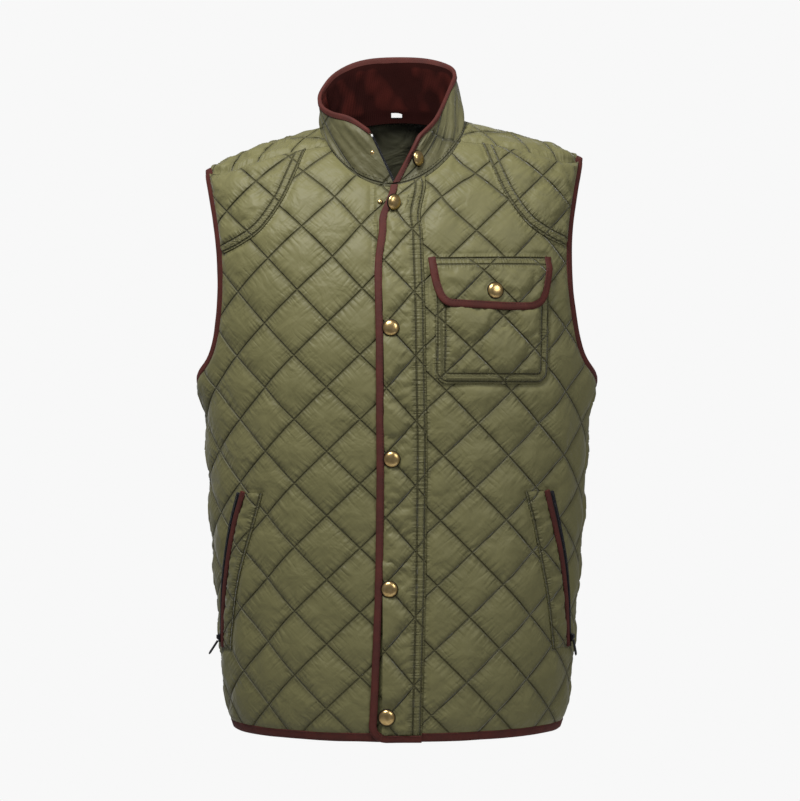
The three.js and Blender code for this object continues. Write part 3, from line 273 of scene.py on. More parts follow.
def spline(points, spacing=0.0, count=0):
    """Even points on a centripetal curve through the given ones."""
    points = np.array(points, float)
    ends = np.vstack([2 * points[0] - points[1], points, 2 * points[-1] - points[-2]])
    step = np.maximum(np.linalg.norm(np.diff(ends, axis=0), axis=1), 1e-6)[:, None] ** 0.5
    a, b, c, d = ends[:-3], ends[1:-2], ends[2:-1], ends[3:]
    g, h, k = step[:-2], step[1:-1], step[2:]
    out = ((b - a) / g - (c - a) / (g + h) + (c - b) / h) * h
    into = ((c - b) / h - (d - b) / (h + k) + (d - c) / k) * h
    t = np.linspace(0, 1, 25)[:, None, None]
    curve = (b * (2 * t**3 - 3 * t**2 + 1) + c * (3 * t**2 - 2 * t**3)
             + out * (t**3 - 2 * t**2 + t) + into * (t**3 - t**2))
    curve = curve.transpose(1, 0, 2).reshape(-1, points.shape[1])
    return evenly(curve, spacing, count)


LINE_STEP = 3.0


def evenly(line, spacing=LINE_STEP, count=0):
    """Points at even steps along a line."""
    line = np.asarray(line, float)
    step = np.linalg.norm(np.diff(line, axis=0), axis=1)
    run = np.concatenate([[0], np.cumsum(step)])
    even = np.linspace(0, run[-1], count or max(2, int(round(run[-1] / spacing)) + 1))
    return np.stack([np.interp(even, run, line[:, k]) for k in range(line.shape[1])], 1)


def sideways(line):
    """Directions to the left of a line as it runs."""
    way = np.gradient(np.asarray(line, float), axis=0)
    way /= np.maximum(np.linalg.norm(way, axis=1, keepdims=True), 1e-9)
    return np.stack([-way[:, 1], way[:, 0]], 1)


def moved(line, distance):
    """A line shifted to its left."""
    return np.asarray(line, float) + sideways(line) * distance


def neck_point(turn, off):
    """A point of the neck seam in plan, turned round from the front."""
    reach = (NECK_BACK_Y - NECK_FRONT_Y) / 2 + off
    power = 2 / NECK_POWER
    x = np.sign(np.sin(turn)) * (NECK_HALF + off) * np.abs(np.sin(turn)) ** power
    y = np.sign(np.cos(turn)) * np.abs(np.cos(turn)) ** power * reach
    return x, (NECK_FRONT_Y + NECK_BACK_Y) / 2 - y


def neck_turn_at_seam(off):
    """The turn at which the neck seam meets the shoulder seam."""
    turns = np.linspace(0.2 * math.pi, 0.7 * math.pi, 400)
    return float(np.interp(SEAM_NECK_Y, neck_point(turns, off)[1], turns))


def neck_edge(face, off, last, steps=40):
    """The neck seam on a panel, from its middle to the shoulder seam."""
    first = math.pi if face == "back" else 0
    edge = []
    for turn in np.linspace(first, last, steps + 1):
        x, y = neck_point(turn, off)
        place, q = pattern_at(face, max(float(x), 0.01), y=float(y))
        p = place
        for _ in range(8):
            shift = opening(face, np.float64(-p if face == "right" else p), q)
            p = place - (-shift if face == "right" else shift)
        edge.append((float(p), float(q)))
    return np.array(edge)


def shoulder_point(face, x):
    """A point of the shoulder seam at a distance out."""
    return pattern_at(face, x, y=SEAM_NECK_Y * (1 - (x / HALF) ** SEAM_BEND))


def armhole_line(face, inset):
    """An armhole's edge, from the shoulder to the side seam."""
    points = [shoulder_point(face, ARMHOLE_TIP_X)]
    points += [pattern_at(face, x, z=z) for z, x in zip(ARMHOLE_Z, ARMHOLE_X)]
    for short, q in ARMHOLE_FOOT:
        side = row_length(q, 0.5)
        points.append(((row_length(q) - side if face == "back" else side) - short, q))
    forward = SIDE_SEAM_FORWARD if face == "back" else -SIDE_SEAM_FORWARD
    seam = (points[-1][0] + forward, points[-1][1] + 1.5)
    points = points + [seam] if face == "back" else points[:-1] + [seam]
    return moved(spline(points, 4), -inset)


def body_outline(face, start, neck_off=NECK_SEAM_OFF, inset=0.0):
    """A panel's edges for the wearer's left, one after another, clockwise from its hem."""
    back = face == "back"
    half = SEAM_GAP / 2 + inset
    last = neck_turn_at_seam(neck_off)
    neck = neck_edge(face, neck_off, last)
    hem = HEM_Z - CHEST_Z + HEM_BINDING + inset
    armhole = armhole_line(face, ARMHOLE_BINDING + inset)
    seam_x = np.linspace(neck_point(last, neck_off)[0],
                         ARMHOLE_TIP_X - ARMHOLE_BINDING - inset, 24)
    shoulder = moved([shoulder_point(face, x) for x in seam_x], -half)
    q = np.linspace(armhole[-1][1], hem, 60)
    side = row_length(q, 0.5)
    side = row_length(q) - side + SIDE_SEAM_FORWARD if back else side - SIDE_SEAM_FORWARD
    side = np.stack([side - half, q], 1)
    armhole[0], armhole[-1], neck[-1] = shoulder[-1], side[0], shoulder[0]
    first = np.array([start, np.interp(start, neck[:, 0], neck[:, 1])])
    return {
        "front": np.array([(start, hem), first]),
        "neck": np.concatenate([[first], neck[neck[:, 0] > start + 1]]),
        "shoulder": shoulder,
        "armhole": armhole,
        "side": side,
        "hem": np.array([side[-1], (start, hem)]),
    }


def mirrored(edges):
    """The same edges for the wearer's right, still clockwise, so each runs the other way."""
    return {name: (edge * (-1, 1))[::-1] for name, edge in reversed(list(edges.items()))}


def whole_back(edges):
    """The back's edges on both sides, from one half's."""
    half = {name: edge for name, edge in edges.items() if name != "front"}
    other = {name + "_2": edge for name, edge in mirrored(half).items()}
    return {**half, **other}


def closed_line(edges):
    """All edges of a panel as one closed line."""
    return np.concatenate([edge[:-1] for edge in edges.values()])


def locate(line, at, closed=True):
    """For each point: nearest place on a line, distance, run along it, and if it is inside."""
    a = line if closed else line[:-1]
    b = np.roll(line, -1, 0) if closed else line[1:]
    step = b - a
    length = np.linalg.norm(step, axis=1)
    start = np.concatenate([[0], np.cumsum(length)[:-1]])
    rise = np.where(step[:, 1] == 0, 1e-9, step[:, 1])
    near, far, along = np.zeros_like(at), np.zeros(len(at)), np.zeros(len(at))
    inside = np.zeros(len(at), bool)
    for part in np.array_split(np.arange(len(at)), len(at) // 2500 + 1):
        some = at[part][:, None]
        t = ((some - a) * step).sum(2) / np.maximum(length**2, 1e-9)
        place = a + step * np.clip(t, 0, 1)[..., None]
        distance = np.linalg.norm(some - place, axis=2)
        best = distance.argmin(1)
        rows = np.arange(len(part))
        near[part], far[part] = place[rows, best], distance[rows, best]
        along[part] = start[best] + np.clip(t, 0, 1)[rows, best] * length[best]
        spans = (a[:, 1] > some[..., 1]) != (b[:, 1] > some[..., 1])
        cross = a[:, 0] + (some[..., 1] - a[:, 1]) / rise * step[:, 0]
        inside[part] = (spans & (some[..., 0] < cross)).sum(1) % 2 == 1
    return near, far, along, inside


QUILT_WIDE, QUILT_TALL = 76, 72
CELLS = 24


def beside(line, at):
    """Distances to the left of an open line, less than nothing on its right, and runs along it."""
    near, far, along, _ = locate(line, at, closed=False)
    way = sideways(line)
    run = np.concatenate([[0], np.cumsum(np.linalg.norm(np.diff(line, axis=0), axis=1))])
    side = np.stack([np.interp(along, run, way[:, axis]) for axis in (0, 1)], 1)
    return far * np.where(((at - near) * side).sum(1) < 0, -1, 1), along


def cloth_grid(edges, crossing, cells=CELLS, warp=None):
    """Points and faces that follow the quilting, with the rim drawn onto the edges."""
    line = closed_line(edges)
    step = np.array([QUILT_WIDE, QUILT_TALL]) / cells
    low = np.floor((line.min(0) - crossing) / step).astype(int) - 1
    high = np.ceil((line.max(0) - crossing) / step).astype(int) + 1
    i, j = np.meshgrid(np.arange(low[0], high[0] + 1), np.arange(low[1], high[1] + 1),
                       indexing="ij")
    home = (np.stack([i, j], 2) * step + np.asarray(crossing, float)).reshape(-1, 2)
    if warp:
        home = home + np.stack(warp(*home.T), 1)
    near, distance, _, inside = locate(line, home)
    rim = distance < step.max() * (0.56 if warp else 0.503)
    at = np.where(rim[:, None], near, home)
    for corner in [edge[0] for edge in edges.values()]:
        far = np.linalg.norm(home - corner, axis=1)
        far[~rim] = 1e9
        at[far.argmin()] = corner
    kept = rim | inside
    number = np.where(kept, np.cumsum(kept) - 1, -1).reshape(i.shape)
    at, rim = at[kept], rim[kept]
    ring = np.stack([number[:-1, :-1], number[1:, :-1], number[1:, 1:], number[:-1, 1:]], -1)
    ring = ring.reshape(-1, 4)
    u, v = i[:-1, :-1].ravel(), j[:-1, :-1].ravel()
    full = (ring >= 0).all(1)
    edgy = full & rim[ring].all(1)
    first = full & (((u - v) % cells == 0) | edgy)
    second = full & ((u + v + 1) % cells == 0) & ~first
    quads = ring[full & ~first & ~second]
    three = ring[(ring >= 0).sum(1) == 3]
    triangles = np.concatenate([
        three[three >= 0].reshape(-1, 3), ring[first][:, [0, 1, 2]], ring[first][:, [0, 2, 3]],
        ring[second][:, [0, 1, 3]], ring[second][:, [1, 2, 3]]])
    x, y = at[triangles].transpose(2, 0, 1)
    area = x[:, 0] * (y[:, 1] - y[:, 2]) + x[:, 1] * (y[:, 2] - y[:, 0]) + x[:, 2] * (
        y[:, 0] - y[:, 1])
    good = area > 0.05
    outer = np.nonzero(good & rim[triangles].all(1))[0]
    good[outer] = locate(line, at[triangles[outer]].mean(1))[3]
    triangles = triangles[good]
    used = np.zeros(len(at), bool)
    used[triangles.ravel()] = True
    used[quads.ravel()] = True
    number = np.cumsum(used) - 1
    faces = number[triangles].tolist() + number[quads].tolist()
    return {"at": at[used], "rim": rim[used], "faces": faces, "i": i.ravel()[kept][used],
            "j": j.ravel()[kept][used], "cells": cells, "line": line}


def border_of(faces):
    """Edges that only one face has, as that face runs."""
    border = {}
    for face in faces:
        for a, b in zip(face, face[1:] + face[:1]):
            if (b, a) in border:
                del border[(b, a)]
            else:
                border[(a, b)] = True
    return list(border)


def walled(faces, count):
    """Faces of a closed wall: an outside, the same points again as its inside, and its rim."""
    made = faces + [[k + count for k in reversed(f)] for f in faces]
    return made + [[b, a, a + count, b + count] for a, b in border_of(faces)]


def new_mesh(name, points, faces, material=None, **attributes):
    """A smooth mesh object from points in millimetres, with values at its points."""
    mesh = bpy.data.meshes.new(name)
    mesh.from_pydata((np.asarray(points) * 0.001).tolist(), [], faces)
    mesh.polygons.foreach_set("use_smooth", [True] * len(mesh.polygons))
    for label, values in attributes.items():
        values = np.asarray(values, float)
        kind = "FLOAT" if values.ndim == 1 else "FLOAT_VECTOR"
        layer = mesh.attributes.new(label, kind, "POINT")
        layer.data.foreach_set("value" if values.ndim == 1 else "vector", values.ravel())
    piece = bpy.data.objects.new(name, mesh)
    bpy.context.scene.collection.objects.link(piece)
    if material:
        mesh.materials.append(material)
    return piece


def crumple(seed, p, q, size):
    """Soft random heights from -1 to 1 that are the same on every run."""
    grid = np.random.default_rng(seed).uniform(-1, 1, (97, 97))
    u, v = np.asarray(p) / size, np.asarray(q) / size
    i, j = np.floor(u).astype(int), np.floor(v).astype(int)
    a, b = smooth(u - i, 0, 1), smooth(v - j, 0, 1)
    low = grid[i % 97, j % 97] * (1 - a) + grid[(i + 1) % 97, j % 97] * a
    high = grid[i % 97, (j + 1) % 97] * (1 - a) + grid[(i + 1) % 97, (j + 1) % 97] * a
    return low * (1 - b) + high * b


SIM_SCALE = 8.0  # the cloth is simulated this many times its size, where it behaves well
PUFF_FRAMES = 12
MOST_PUFF = 3.0
LOOSENESS = 0.05


def puffed(start, faces, held, pressure):
    """Wadding pushes the cloth out between the points that stitches hold."""
    piece = new_mesh("puffing", start * SIM_SCALE, faces)
    group = piece.vertex_groups.new(name="held")
    group.add([int(k) for k in np.nonzero(held)[0]], 1.0, "REPLACE")
    cloth = piece.modifiers.new("cloth", "CLOTH")
    settings = cloth.settings
    settings.quality = 4
    settings.mass = 0.25
    settings.tension_stiffness = 12
    settings.compression_stiffness = 12
    settings.shear_stiffness = 6
    settings.bending_stiffness = 0.15
    settings.tension_damping = 8
    settings.compression_damping = 8
    settings.shear_damping = 8
    settings.bending_damping = 0.5
    settings.vertex_group_mass = "held"
    settings.shrink_min = -LOOSENESS
    settings.use_pressure = True
    settings.uniform_pressure_force = pressure
    settings.effector_weights.gravity = 0
    cloth.collision_settings.use_collision = False
    cloth.point_cache.frame_start = 1
    cloth.point_cache.frame_end = PUFF_FRAMES
    for step in range(1, PUFF_FRAMES + 1):
        bpy.context.scene.frame_set(step)
    result = piece.evaluated_get(bpy.context.evaluated_depsgraph_get())
    ended = points_of(result) / SIM_SCALE
    bpy.data.objects.remove(piece)
    bpy.context.scene.frame_set(1)
    way = ended - start
    far = np.linalg.norm(way, axis=1, keepdims=True)
    return start + way * np.minimum(1, MOST_PUFF / np.maximum(far, 1e-6))


def points_of(piece):
    """A piece's points in millimetres."""
    flat = np.zeros(len(piece.data.vertices) * 3)
    piece.data.vertices.foreach_get("co", flat)
    return flat.reshape(-1, 3) * 1000


def srgb(code):
    """A colour written as six hex digits, turned linear."""
    parts = [int(code[k:k + 2], 16) / 255 for k in (0, 2, 4)]
    return [c / 12.92 if c <= 0.04045 else ((c + 0.055) / 1.055) ** 2.4 for c in parts] + [1]


def feed(tree, made, inputs):
    """Gives a node's inputs a link from a node or a socket, a number, or a colour in hex."""
    for name, value in inputs.items():
        if isinstance(value, bpy.types.Node):
            value = value.outputs[0]
        if isinstance(value, bpy.types.NodeSocket):
            tree.links.new(value, made.inputs[name])
        else:
            made.inputs[name].default_value = srgb(value) if isinstance(value, str) else value


def node(tree, kind, inputs=None, **settings):
    """Adds a shader or geometry node, sets its fields or sockets, and feeds its inputs."""
    made = tree.nodes.new(kind)
    for name, value in settings.items():
        if hasattr(made, name):
            setattr(made, name, value)
        else:
            feed(tree, made, {name.replace("_", " "): value})
    feed(tree, made, inputs or {})
    return made


def new_material(name, roughness, specular=0.5, metallic=0.0):
    """A material with its node tree and its shader, in which the finish is already set."""
    material = bpy.data.materials.new(name)
    material.use_nodes = True
    shader = material.node_tree.nodes["Principled BSDF"]
    shader.inputs["Roughness"].default_value = roughness
    shader.inputs["Specular IOR Level"].default_value = specular
    shader.inputs["Metallic"].default_value = metallic
    return material, material.node_tree, shader


def plain(name, colour, roughness, specular=0.5, metallic=0.0):
    """A material of one colour, for thread, tape and small hardware."""
    material, _, shader = new_material(name, roughness, specular, metallic)
    shader.inputs["Base Color"].default_value = srgb(colour)
    return material


# Sizes in millimetres of what shows on the taffeta: a diamond's side, the width of a streak that
# runs out from its stitches, a pucker along a row and away from it, creases, and faded clouds
DIAMOND_SIDE, STREAK_WIDE = 52, 8
PUCKER_LONG, PUCKER_DEEP = 2.78, 28.6
CREASE_SIZE, FADE_SIZE = 31.25, 111


def taffeta(name, colour, light, shadow):
    """Nylon taffeta over wadding: half dull and crisp, so each small crease catches light.

    Streaks run out from each stitched line and puckers from each row, and painted shade darkens
    the colour where the cloth dips to the thread. The quilt and rows attributes count diamonds and
    centimetres.
    """
    material, tree, shader = new_material(name, 0.56, 0.3)
    quilt = node(tree, "ShaderNodeAttribute", attribute_name="quilt").outputs["Vector"]
    rows = node(tree, "ShaderNodeAttribute", attribute_name="rows").outputs["Vector"]
    lines = node(tree, "ShaderNodeSeparateXYZ", {"Vector": quilt}).outputs
    row = node(tree, "ShaderNodeSeparateXYZ", {"Vector": rows}).outputs
    height, near = 0.0, 0.5
    for across, along in ((lines[0], lines[1]), (lines[1], lines[0])):
        off = node(tree, "ShaderNodeMath", {0: across, 1: 0.5}, operation="PINGPONG")
        weight = node(tree, "ShaderNodeMapRange", {"Value": off},
                      interpolation_type="SMOOTHSTEP", From_Min=0.0, From_Max=0.42,
                      To_Min=1.0, To_Max=0.15)
        run = node(tree, "ShaderNodeMath", {0: along, 1: DIAMOND_SIDE / STREAK_WIDE},
                   operation="MULTIPLY")
        place = node(tree, "ShaderNodeCombineXYZ", {"X": run, "Y": across})
        streak = node(tree, "ShaderNodeTexNoise", {"Vector": place}, Scale=1.0, Detail=1.5,
                      Roughness=0.5).outputs["Fac"]
        ridge = node(tree, "ShaderNodeMath", {0: streak, 1: 0.5}, operation="SUBTRACT")
        ridge = node(tree, "ShaderNodeMath", {0: ridge}, operation="ABSOLUTE")
        ridge = node(tree, "ShaderNodeMath", {0: ridge, 1: 2.0}, operation="MULTIPLY")
        height = node(tree, "ShaderNodeMath", {0: ridge, 1: weight, 2: height},
                      operation="MULTIPLY_ADD")
        near = node(tree, "ShaderNodeMath", {0: near, 1: off}, operation="MINIMUM")
    first = node(tree, "ShaderNodeMath", {0: row[1]}, operation="ABSOLUTE")
    second = node(tree, "ShaderNodeMath", {0: row[2]}, operation="ABSOLUTE")
    stitched = node(tree, "ShaderNodeMath", {0: first, 1: second}, operation="MINIMUM")
    pressed = node(tree, "ShaderNodeMath", {0: lines[2], 1: 1.7, 2: 0.15},
                   operation="MULTIPLY_ADD")
    aside = node(tree, "ShaderNodeMath", {0: stitched, 1: pressed}, operation="MINIMUM")
    row_weight = node(tree, "ShaderNodeMapRange", {"Value": aside},
                      interpolation_type="SMOOTHSTEP", From_Min=0.1, From_Max=0.9,
                      To_Min=1.5, To_Max=0.0)
    run = node(tree, "ShaderNodeMath", {0: row[0], 1: 10 / PUCKER_LONG}, operation="MULTIPLY")
    reach = node(tree, "ShaderNodeMath", {0: row[1], 1: 10 / PUCKER_DEEP}, operation="MULTIPLY")
    place = node(tree, "ShaderNodeCombineXYZ", {"X": run, "Y": reach})
    pucker = node(tree, "ShaderNodeTexNoise", {"Vector": place}, Scale=1.0,
                  Detail=1.5).outputs["Fac"]
    height = node(tree, "ShaderNodeMath", {0: pucker, 1: row_weight, 2: height},
                  operation="MULTIPLY_ADD")
    where = node(tree, "ShaderNodeTexCoord").outputs["Object"]
    crease = node(tree, "ShaderNodeTexNoise", {"Vector": where}, Scale=1000 / CREASE_SIZE,
                  Detail=3.0, Roughness=0.5, Distortion=0.5).outputs["Fac"]
    height = node(tree, "ShaderNodeMath", {0: crease, 1: 2.0, 2: height},
                  operation="MULTIPLY_ADD")
    # A centimetre is about 0.2 of a diamond's side
    stitched = node(tree, "ShaderNodeMath", {0: stitched, 1: 0.2}, operation="MULTIPLY")
    near = node(tree, "ShaderNodeMath", {0: near, 1: stitched}, operation="MINIMUM")
    groove = node(tree, "ShaderNodeMapRange", {"Value": near}, interpolation_type="SMOOTHSTEP",
                  From_Min=0.0, From_Max=0.03, To_Min=-1.0, To_Max=0.0)
    height = node(tree, "ShaderNodeMath", {0: height, 1: groove}, operation="ADD")
    bump = node(tree, "ShaderNodeBump", {"Height": height}, Strength=0.9, Distance=0.002)
    faded = node(tree, "ShaderNodeTexNoise", {"Vector": where}, Scale=1000 / FADE_SIZE,
                 Detail=2.0).outputs["Fac"]
    tone = node(tree, "ShaderNodeMix", {"Factor": faded, 6: colour, 7: light}, data_type="RGBA")
    # Painted shade: the colour is mixed towards the shadow tone near stitched lines and rows, softly
    # over a broad band and strongly in a narrow one
    for reach, most in ((0.15, 0.4), (0.024, 0.65)):
        shade = node(tree, "ShaderNodeMapRange", {"Value": near},
                     interpolation_type="SMOOTHSTEP", From_Min=0.0, From_Max=reach,
                     To_Min=most, To_Max=0.0)
        tone = node(tree, "ShaderNodeMix", {"Factor": shade, 6: tone.outputs[2], 7: shadow},
                    data_type="RGBA")
    feed(tree, shader, {"Base Color": tone.outputs[2], "Normal": bump, "Sheen Weight": 0.15,
                        "Sheen Roughness": 0.35})
    return material


OLIVE = taffeta("olive taffeta", "66633F", "736F49", "38351F")
# A darker copy of the olive taffeta for the collar, not a different cloth: painted shade on its
# outside, which faces down away from the lamps
SHADED_COLLAR_OLIVE = taffeta("shaded collar taffeta", "524F35", "5D5A3C", "2D2C1A")
WALL = 2.2
PUFF = 5.0
ROW_DIP = 1.1
# Reach of the cloth pressed flat beside an edge, a row of stitches and a piece sewn on top,
# and half the width that a row of stitches holds down
EDGE_THIN, ROW_THIN, COVER_THIN, ROW_HELD = 9, 7, 8, 3.0
FAR = 99.0


def fixed(piece, cad_node, body="vest"):
    """Attaches a piece to the body it rides on, and hides the solid it stands for."""
    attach(piece, body)
    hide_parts(cad_node)
    return piece


def height_over(value, at):
    """A height at each point, from one number or from a rule."""
    return value(at) if callable(value) else np.full(len(at), float(value))


def quilted(name, face, edges, crossing, base=0.0, wall=WALL, puff=PUFF, covers=(), rows=(),
            edge=0.85, pressure=1.6, seed=1, warp=None):
    """A quilted panel: its outside puffed between the stitches, over a plain inside."""
    grid = cloth_grid(edges, crossing, warp=warp)
    at, rim, cells = grid["at"], grid["rim"], grid["cells"]
    i, j = grid["i"], grid["j"]
    flat = np.ones(len(at))
    edge_run, edge_off = np.zeros(len(at)), np.full(len(at), FAR)
    for cover in covers:
        _, far, along, inside = locate(cover, at)
        flat = np.minimum(flat, np.where(inside, 0, smooth(far, 0, COVER_THIN)))
        edge_run = np.where(far < edge_off, along, edge_run)
        edge_off = np.minimum(edge_off, far)
    run, sides = np.zeros(len(at)), np.full((2, len(at)), FAR)
    for k, row in enumerate(rows):
        sides[k], along = beside(row, at)
        run = np.where(np.abs(sides[k]) <= np.abs(sides).min(0), along, run)
    aside = np.abs(sides).min(0)
    depth = locate(grid["line"], at)[1]
    u, v = i / cells, j / cells
    share = (np.abs(np.sin(math.pi * (u - v))) * np.abs(np.sin(math.pi * (u + v)))) ** 0.6
    share *= flat * smooth(depth, -1, EDGE_THIN) * smooth(aside, 0, ROW_THIN)
    low = height_over(base, at)
    bed = edge + (1 - edge) * smooth(depth, 0, 5)
    dip = ROW_DIP * (1 - smooth(aside, 0, 3.4))
    soft = 0.5 * crumple(seed, at[:, 0], at[:, 1], 13) + 0.3 * crumple(seed + 9, *at.T, 6.5)
    rise = 0.72 * puff * share + soft * smooth(share, 0, 0.35)
    start = cloth_at(face, at, low + wall * bed - dip * smooth(depth, 0, 2) + rise)
    stitched = (((i - j) % cells == 0) | ((i + j) % cells == 0)) & ~rim
    held = rim | stitched | (flat < 0.35) | (aside < ROW_HELD)
    faces = grid["faces"]
    top = puffed(start, faces, held, pressure)
    if face == "back":
        faces = [f[::-1] for f in faces]
    under = cloth_at(face, at, low)
    quilt = np.stack([u - v, u + v, edge_off / 10], 1)
    seam = np.stack([np.where(aside < edge_off, run, edge_run), *sides], 1) / 10
    piece = new_mesh("quilted_" + name, np.concatenate([top, under]), walled(faces, len(top)),
                     OLIVE, quilt=np.tile(quilt, (2, 1)), rows=np.tile(seam, (2, 1)))
    piece.data.set_sharp_from_angle(angle=math.radians(55))
    fixed(piece, name)
    lines = quilt_lines(grid, top, stitched & (flat > 0.5))
    even = [evenly(row) for row in rows]
    lines += on_top(piece, [cloth_at(face, row, low.mean() + wall) for row in even])
    sewn(name, lines)
    return piece


def quilt_lines(grid, top, shown):
    """Runs of points along the quilting, each as long as it isn't broken off."""
    i, j, cells = grid["i"], grid["j"], grid["cells"]
    lines = []
    for key in (i - j, i + j):
        for value in np.unique(key[shown & (key % cells == 0)]):
            on = np.nonzero(shown & (key == value))[0]
            on = on[np.argsort(i[on])]
            for part in np.split(on, np.nonzero(np.diff(i[on]) != 1)[0] + 1):
                if len(part) > 2:
                    lines.append(top[part])
    return lines


def on_top(piece, lines, lift=0.1):
    """Lines of points moved onto the outside of a piece."""
    if not lines:
        return []
    tree = BVHTree.FromPolygons([v.co.copy() for v in piece.data.vertices],
                                [list(f.vertices) for f in piece.data.polygons])
    placed = []
    for line in lines:
        near = [tree.find_nearest(Vector(point) * 0.001)[:2] for point in line]
        placed.append(np.array([place * 1000 + normal * lift for place, normal in near]))
    return placed


def stitch_nodes():
    """Lays a thread stitch at even steps along every line of a mesh of edges."""
    tree = bpy.data.node_groups.new("stitches", "GeometryNodeTree")
    sockets = tree.interface
    sockets.new_socket("Geometry", in_out="INPUT", socket_type="NodeSocketGeometry")
    for label in ("Pitch", "Length", "Thickness"):
        sockets.new_socket(label, in_out="INPUT", socket_type="NodeSocketFloat")
    sockets.new_socket("Thread", in_out="INPUT", socket_type="NodeSocketMaterial")
    sockets.new_socket("Geometry", in_out="OUTPUT", socket_type="NodeSocketGeometry")
    start = node(tree, "NodeGroupInput").outputs
    curve = node(tree, "GeometryNodeMeshToCurve", {"Mesh": start["Geometry"]})
    even = node(tree, "GeometryNodeResampleCurve", {"Curve": curve, "Length": start["Pitch"]},
                mode="LENGTH")
    places = node(tree, "GeometryNodeCurveToPoints", {"Curve": even}, mode="EVALUATED")
    ball = node(tree, "GeometryNodeMeshUVSphere", Segments=5, Rings=4, Radius=0.5)
    size = node(tree, "ShaderNodeCombineXYZ", {
        "X": start["Thickness"], "Y": start["Thickness"], "Z": start["Length"]})
    shaped = node(tree, "GeometryNodeTransform", {"Geometry": ball, "Scale": size})
    laid = node(tree, "GeometryNodeInstanceOnPoints", {
        "Points": places, "Instance": shaped, "Rotation": places.outputs["Rotation"]})
    real = node(tree, "GeometryNodeRealizeInstances", {"Geometry": laid})
    smoothed = node(tree, "GeometryNodeSetShadeSmooth", {"Geometry": real})
    dyed = node(tree, "GeometryNodeSetMaterial", {
        "Geometry": smoothed, "Material": start["Thread"]})
    node(tree, "NodeGroupOutput", {"Geometry": dyed})
    return tree


# Spun polyester thread, dull and a shade darker than the cloth, so that a stitch reads as a dash
THREAD = plain("olive thread", "504D31", 0.7, 0.3)
STITCHES = stitch_nodes()


def sewn(name, lines, thread=THREAD, pitch=4.2, length=3.2, thickness=0.55):
    """Stitches along lines of points in millimetres, as one piece."""
    if not lines:
        return None
    points = np.concatenate(lines) * 0.001
    ends = np.cumsum([len(line) for line in lines])
    edges = [(k, k + 1) for k in range(len(points) - 1) if k + 1 not in set(ends.tolist())]
    mesh = bpy.data.meshes.new(name + "_lines")
    mesh.from_pydata(points.tolist(), edges, [])
    guide = bpy.data.objects.new(name + "_lines", mesh)
    bpy.context.scene.collection.objects.link(guide)
    modifier = guide.modifiers.new("stitches", "NODES")
    modifier.node_group = STITCHES
    values = {"Pitch": pitch / 1000, "Length": length / 1000, "Thickness": thickness / 1000,
              "Thread": thread}
    for item in STITCHES.interface.items_tree:
        if item.in_out == "INPUT" and item.name in values:
            modifier[item.identifier] = values[item.name]
    result = guide.evaluated_get(bpy.context.evaluated_depsgraph_get())
    made = bpy.data.meshes.new_from_object(result)
    piece = bpy.data.objects.new(name + "_stitches", made)
    bpy.context.scene.collection.objects.link(piece)
    bpy.data.objects.remove(guide)
    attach(piece, "vest")
    return piece


back_edges = whole_back(body_outline("back", 0))
quilted("back", "back", back_edges, (0, -10), seed=11)


# Fronts. Two panels of the same quilted cloth that meet on a zip under the placket and part at
# the neck. Each is sewn to the back at the shoulder and the side. What is sewn on them presses
# their wadding flat, so the outlines of those pieces are drawn first.
RIGHT_EDGE, LEFT_EDGE = 9, 13
RIGHT_CROSSING, LEFT_CROSSING = (-79, -7.5), (59.6, -11.6)
HEM_Q = HEM_Z - CHEST_Z
PLACKET_SEAM = 30
FRONT_BINDING = 6.8
PLACKET_CORNER = 12
PLACKET_EDGE_Q, PLACKET_EDGE_P = np.array([
    (-400, -31),
    (-345, -28.5),
    (-245, -24.7),
    (-130, -22.6),
    (60, -23.2),
    (135, -22),
    (170, -16.8),
    (190, -17.5),
    (240, -18.5),
], float).T
# How the placket's double row strays across, hem to neck, as the fronts part under it
PLACKET_LEAN_Q, PLACKET_LEAN_P = np.array([
    (-400, -3), (-230, 1.6), (-80, 3.2), (30, 1.4), (100, 2.2), (172, 1.9), (205, -6), (240, -12),
], float).T
PATCH_LINE = [(102, 289), (112.3, 251.4), (128, 211), (153.5, 176), (181, 159.5), (205, 151)]
PATCH_OFF = ARMHOLE_BINDING + 1.5
POCKET_LEFT, POCKET_RIGHT, POCKET_LOW, POCKET_TOP = 43.5, 179, -3, 132
POCKET_ROUND, POCKET_LEAN = 15, 0.031
FLAP_LINE = [
    (40.7, 138), (43.2, 118), (46.9, 101), (51.5, 91), (58.3, 85.9), (76.5, 84.2), (100, 83),
    (123.5, 82), (141.5, 81.8), (157.4, 83.1), (167.5, 88.3), (173, 97.4), (176, 107.6),
    (179, 124), (180, 138),
]
FLAP_BINDING = 7
WELT_BINDING = 6.5
ZIP_WIDE = 6
# Level up the front, distance out of the welt's stitched line, and of its bound edge
WELTS = {
    "right": np.array([(-308, 213, 239), (-285, 208, 236), (-245, 197, 227), (-205, 184, 215),
                       (-165, 170, 202), (-127, 157, 187)], float),
    "left": np.array([(-306, 193.5, 228.5), (-252, 183.5, 219.5), (-205, 171.5, 208),
                      (-160, 160, 193.5), (-125, 149, 182)], float),
}


def placket_edge(q):
    """Where the placket's bound edge runs at a height up the front."""
    return read_table(PLACKET_EDGE_Q, PLACKET_EDGE_P, q) + FRONT_BINDING


def placket_row(p, q):
    """A line down the placket that strays as its double row does."""
    return np.stack([p + np.interp(q, PLACKET_LEAN_Q, PLACKET_LEAN_P), q], -1)


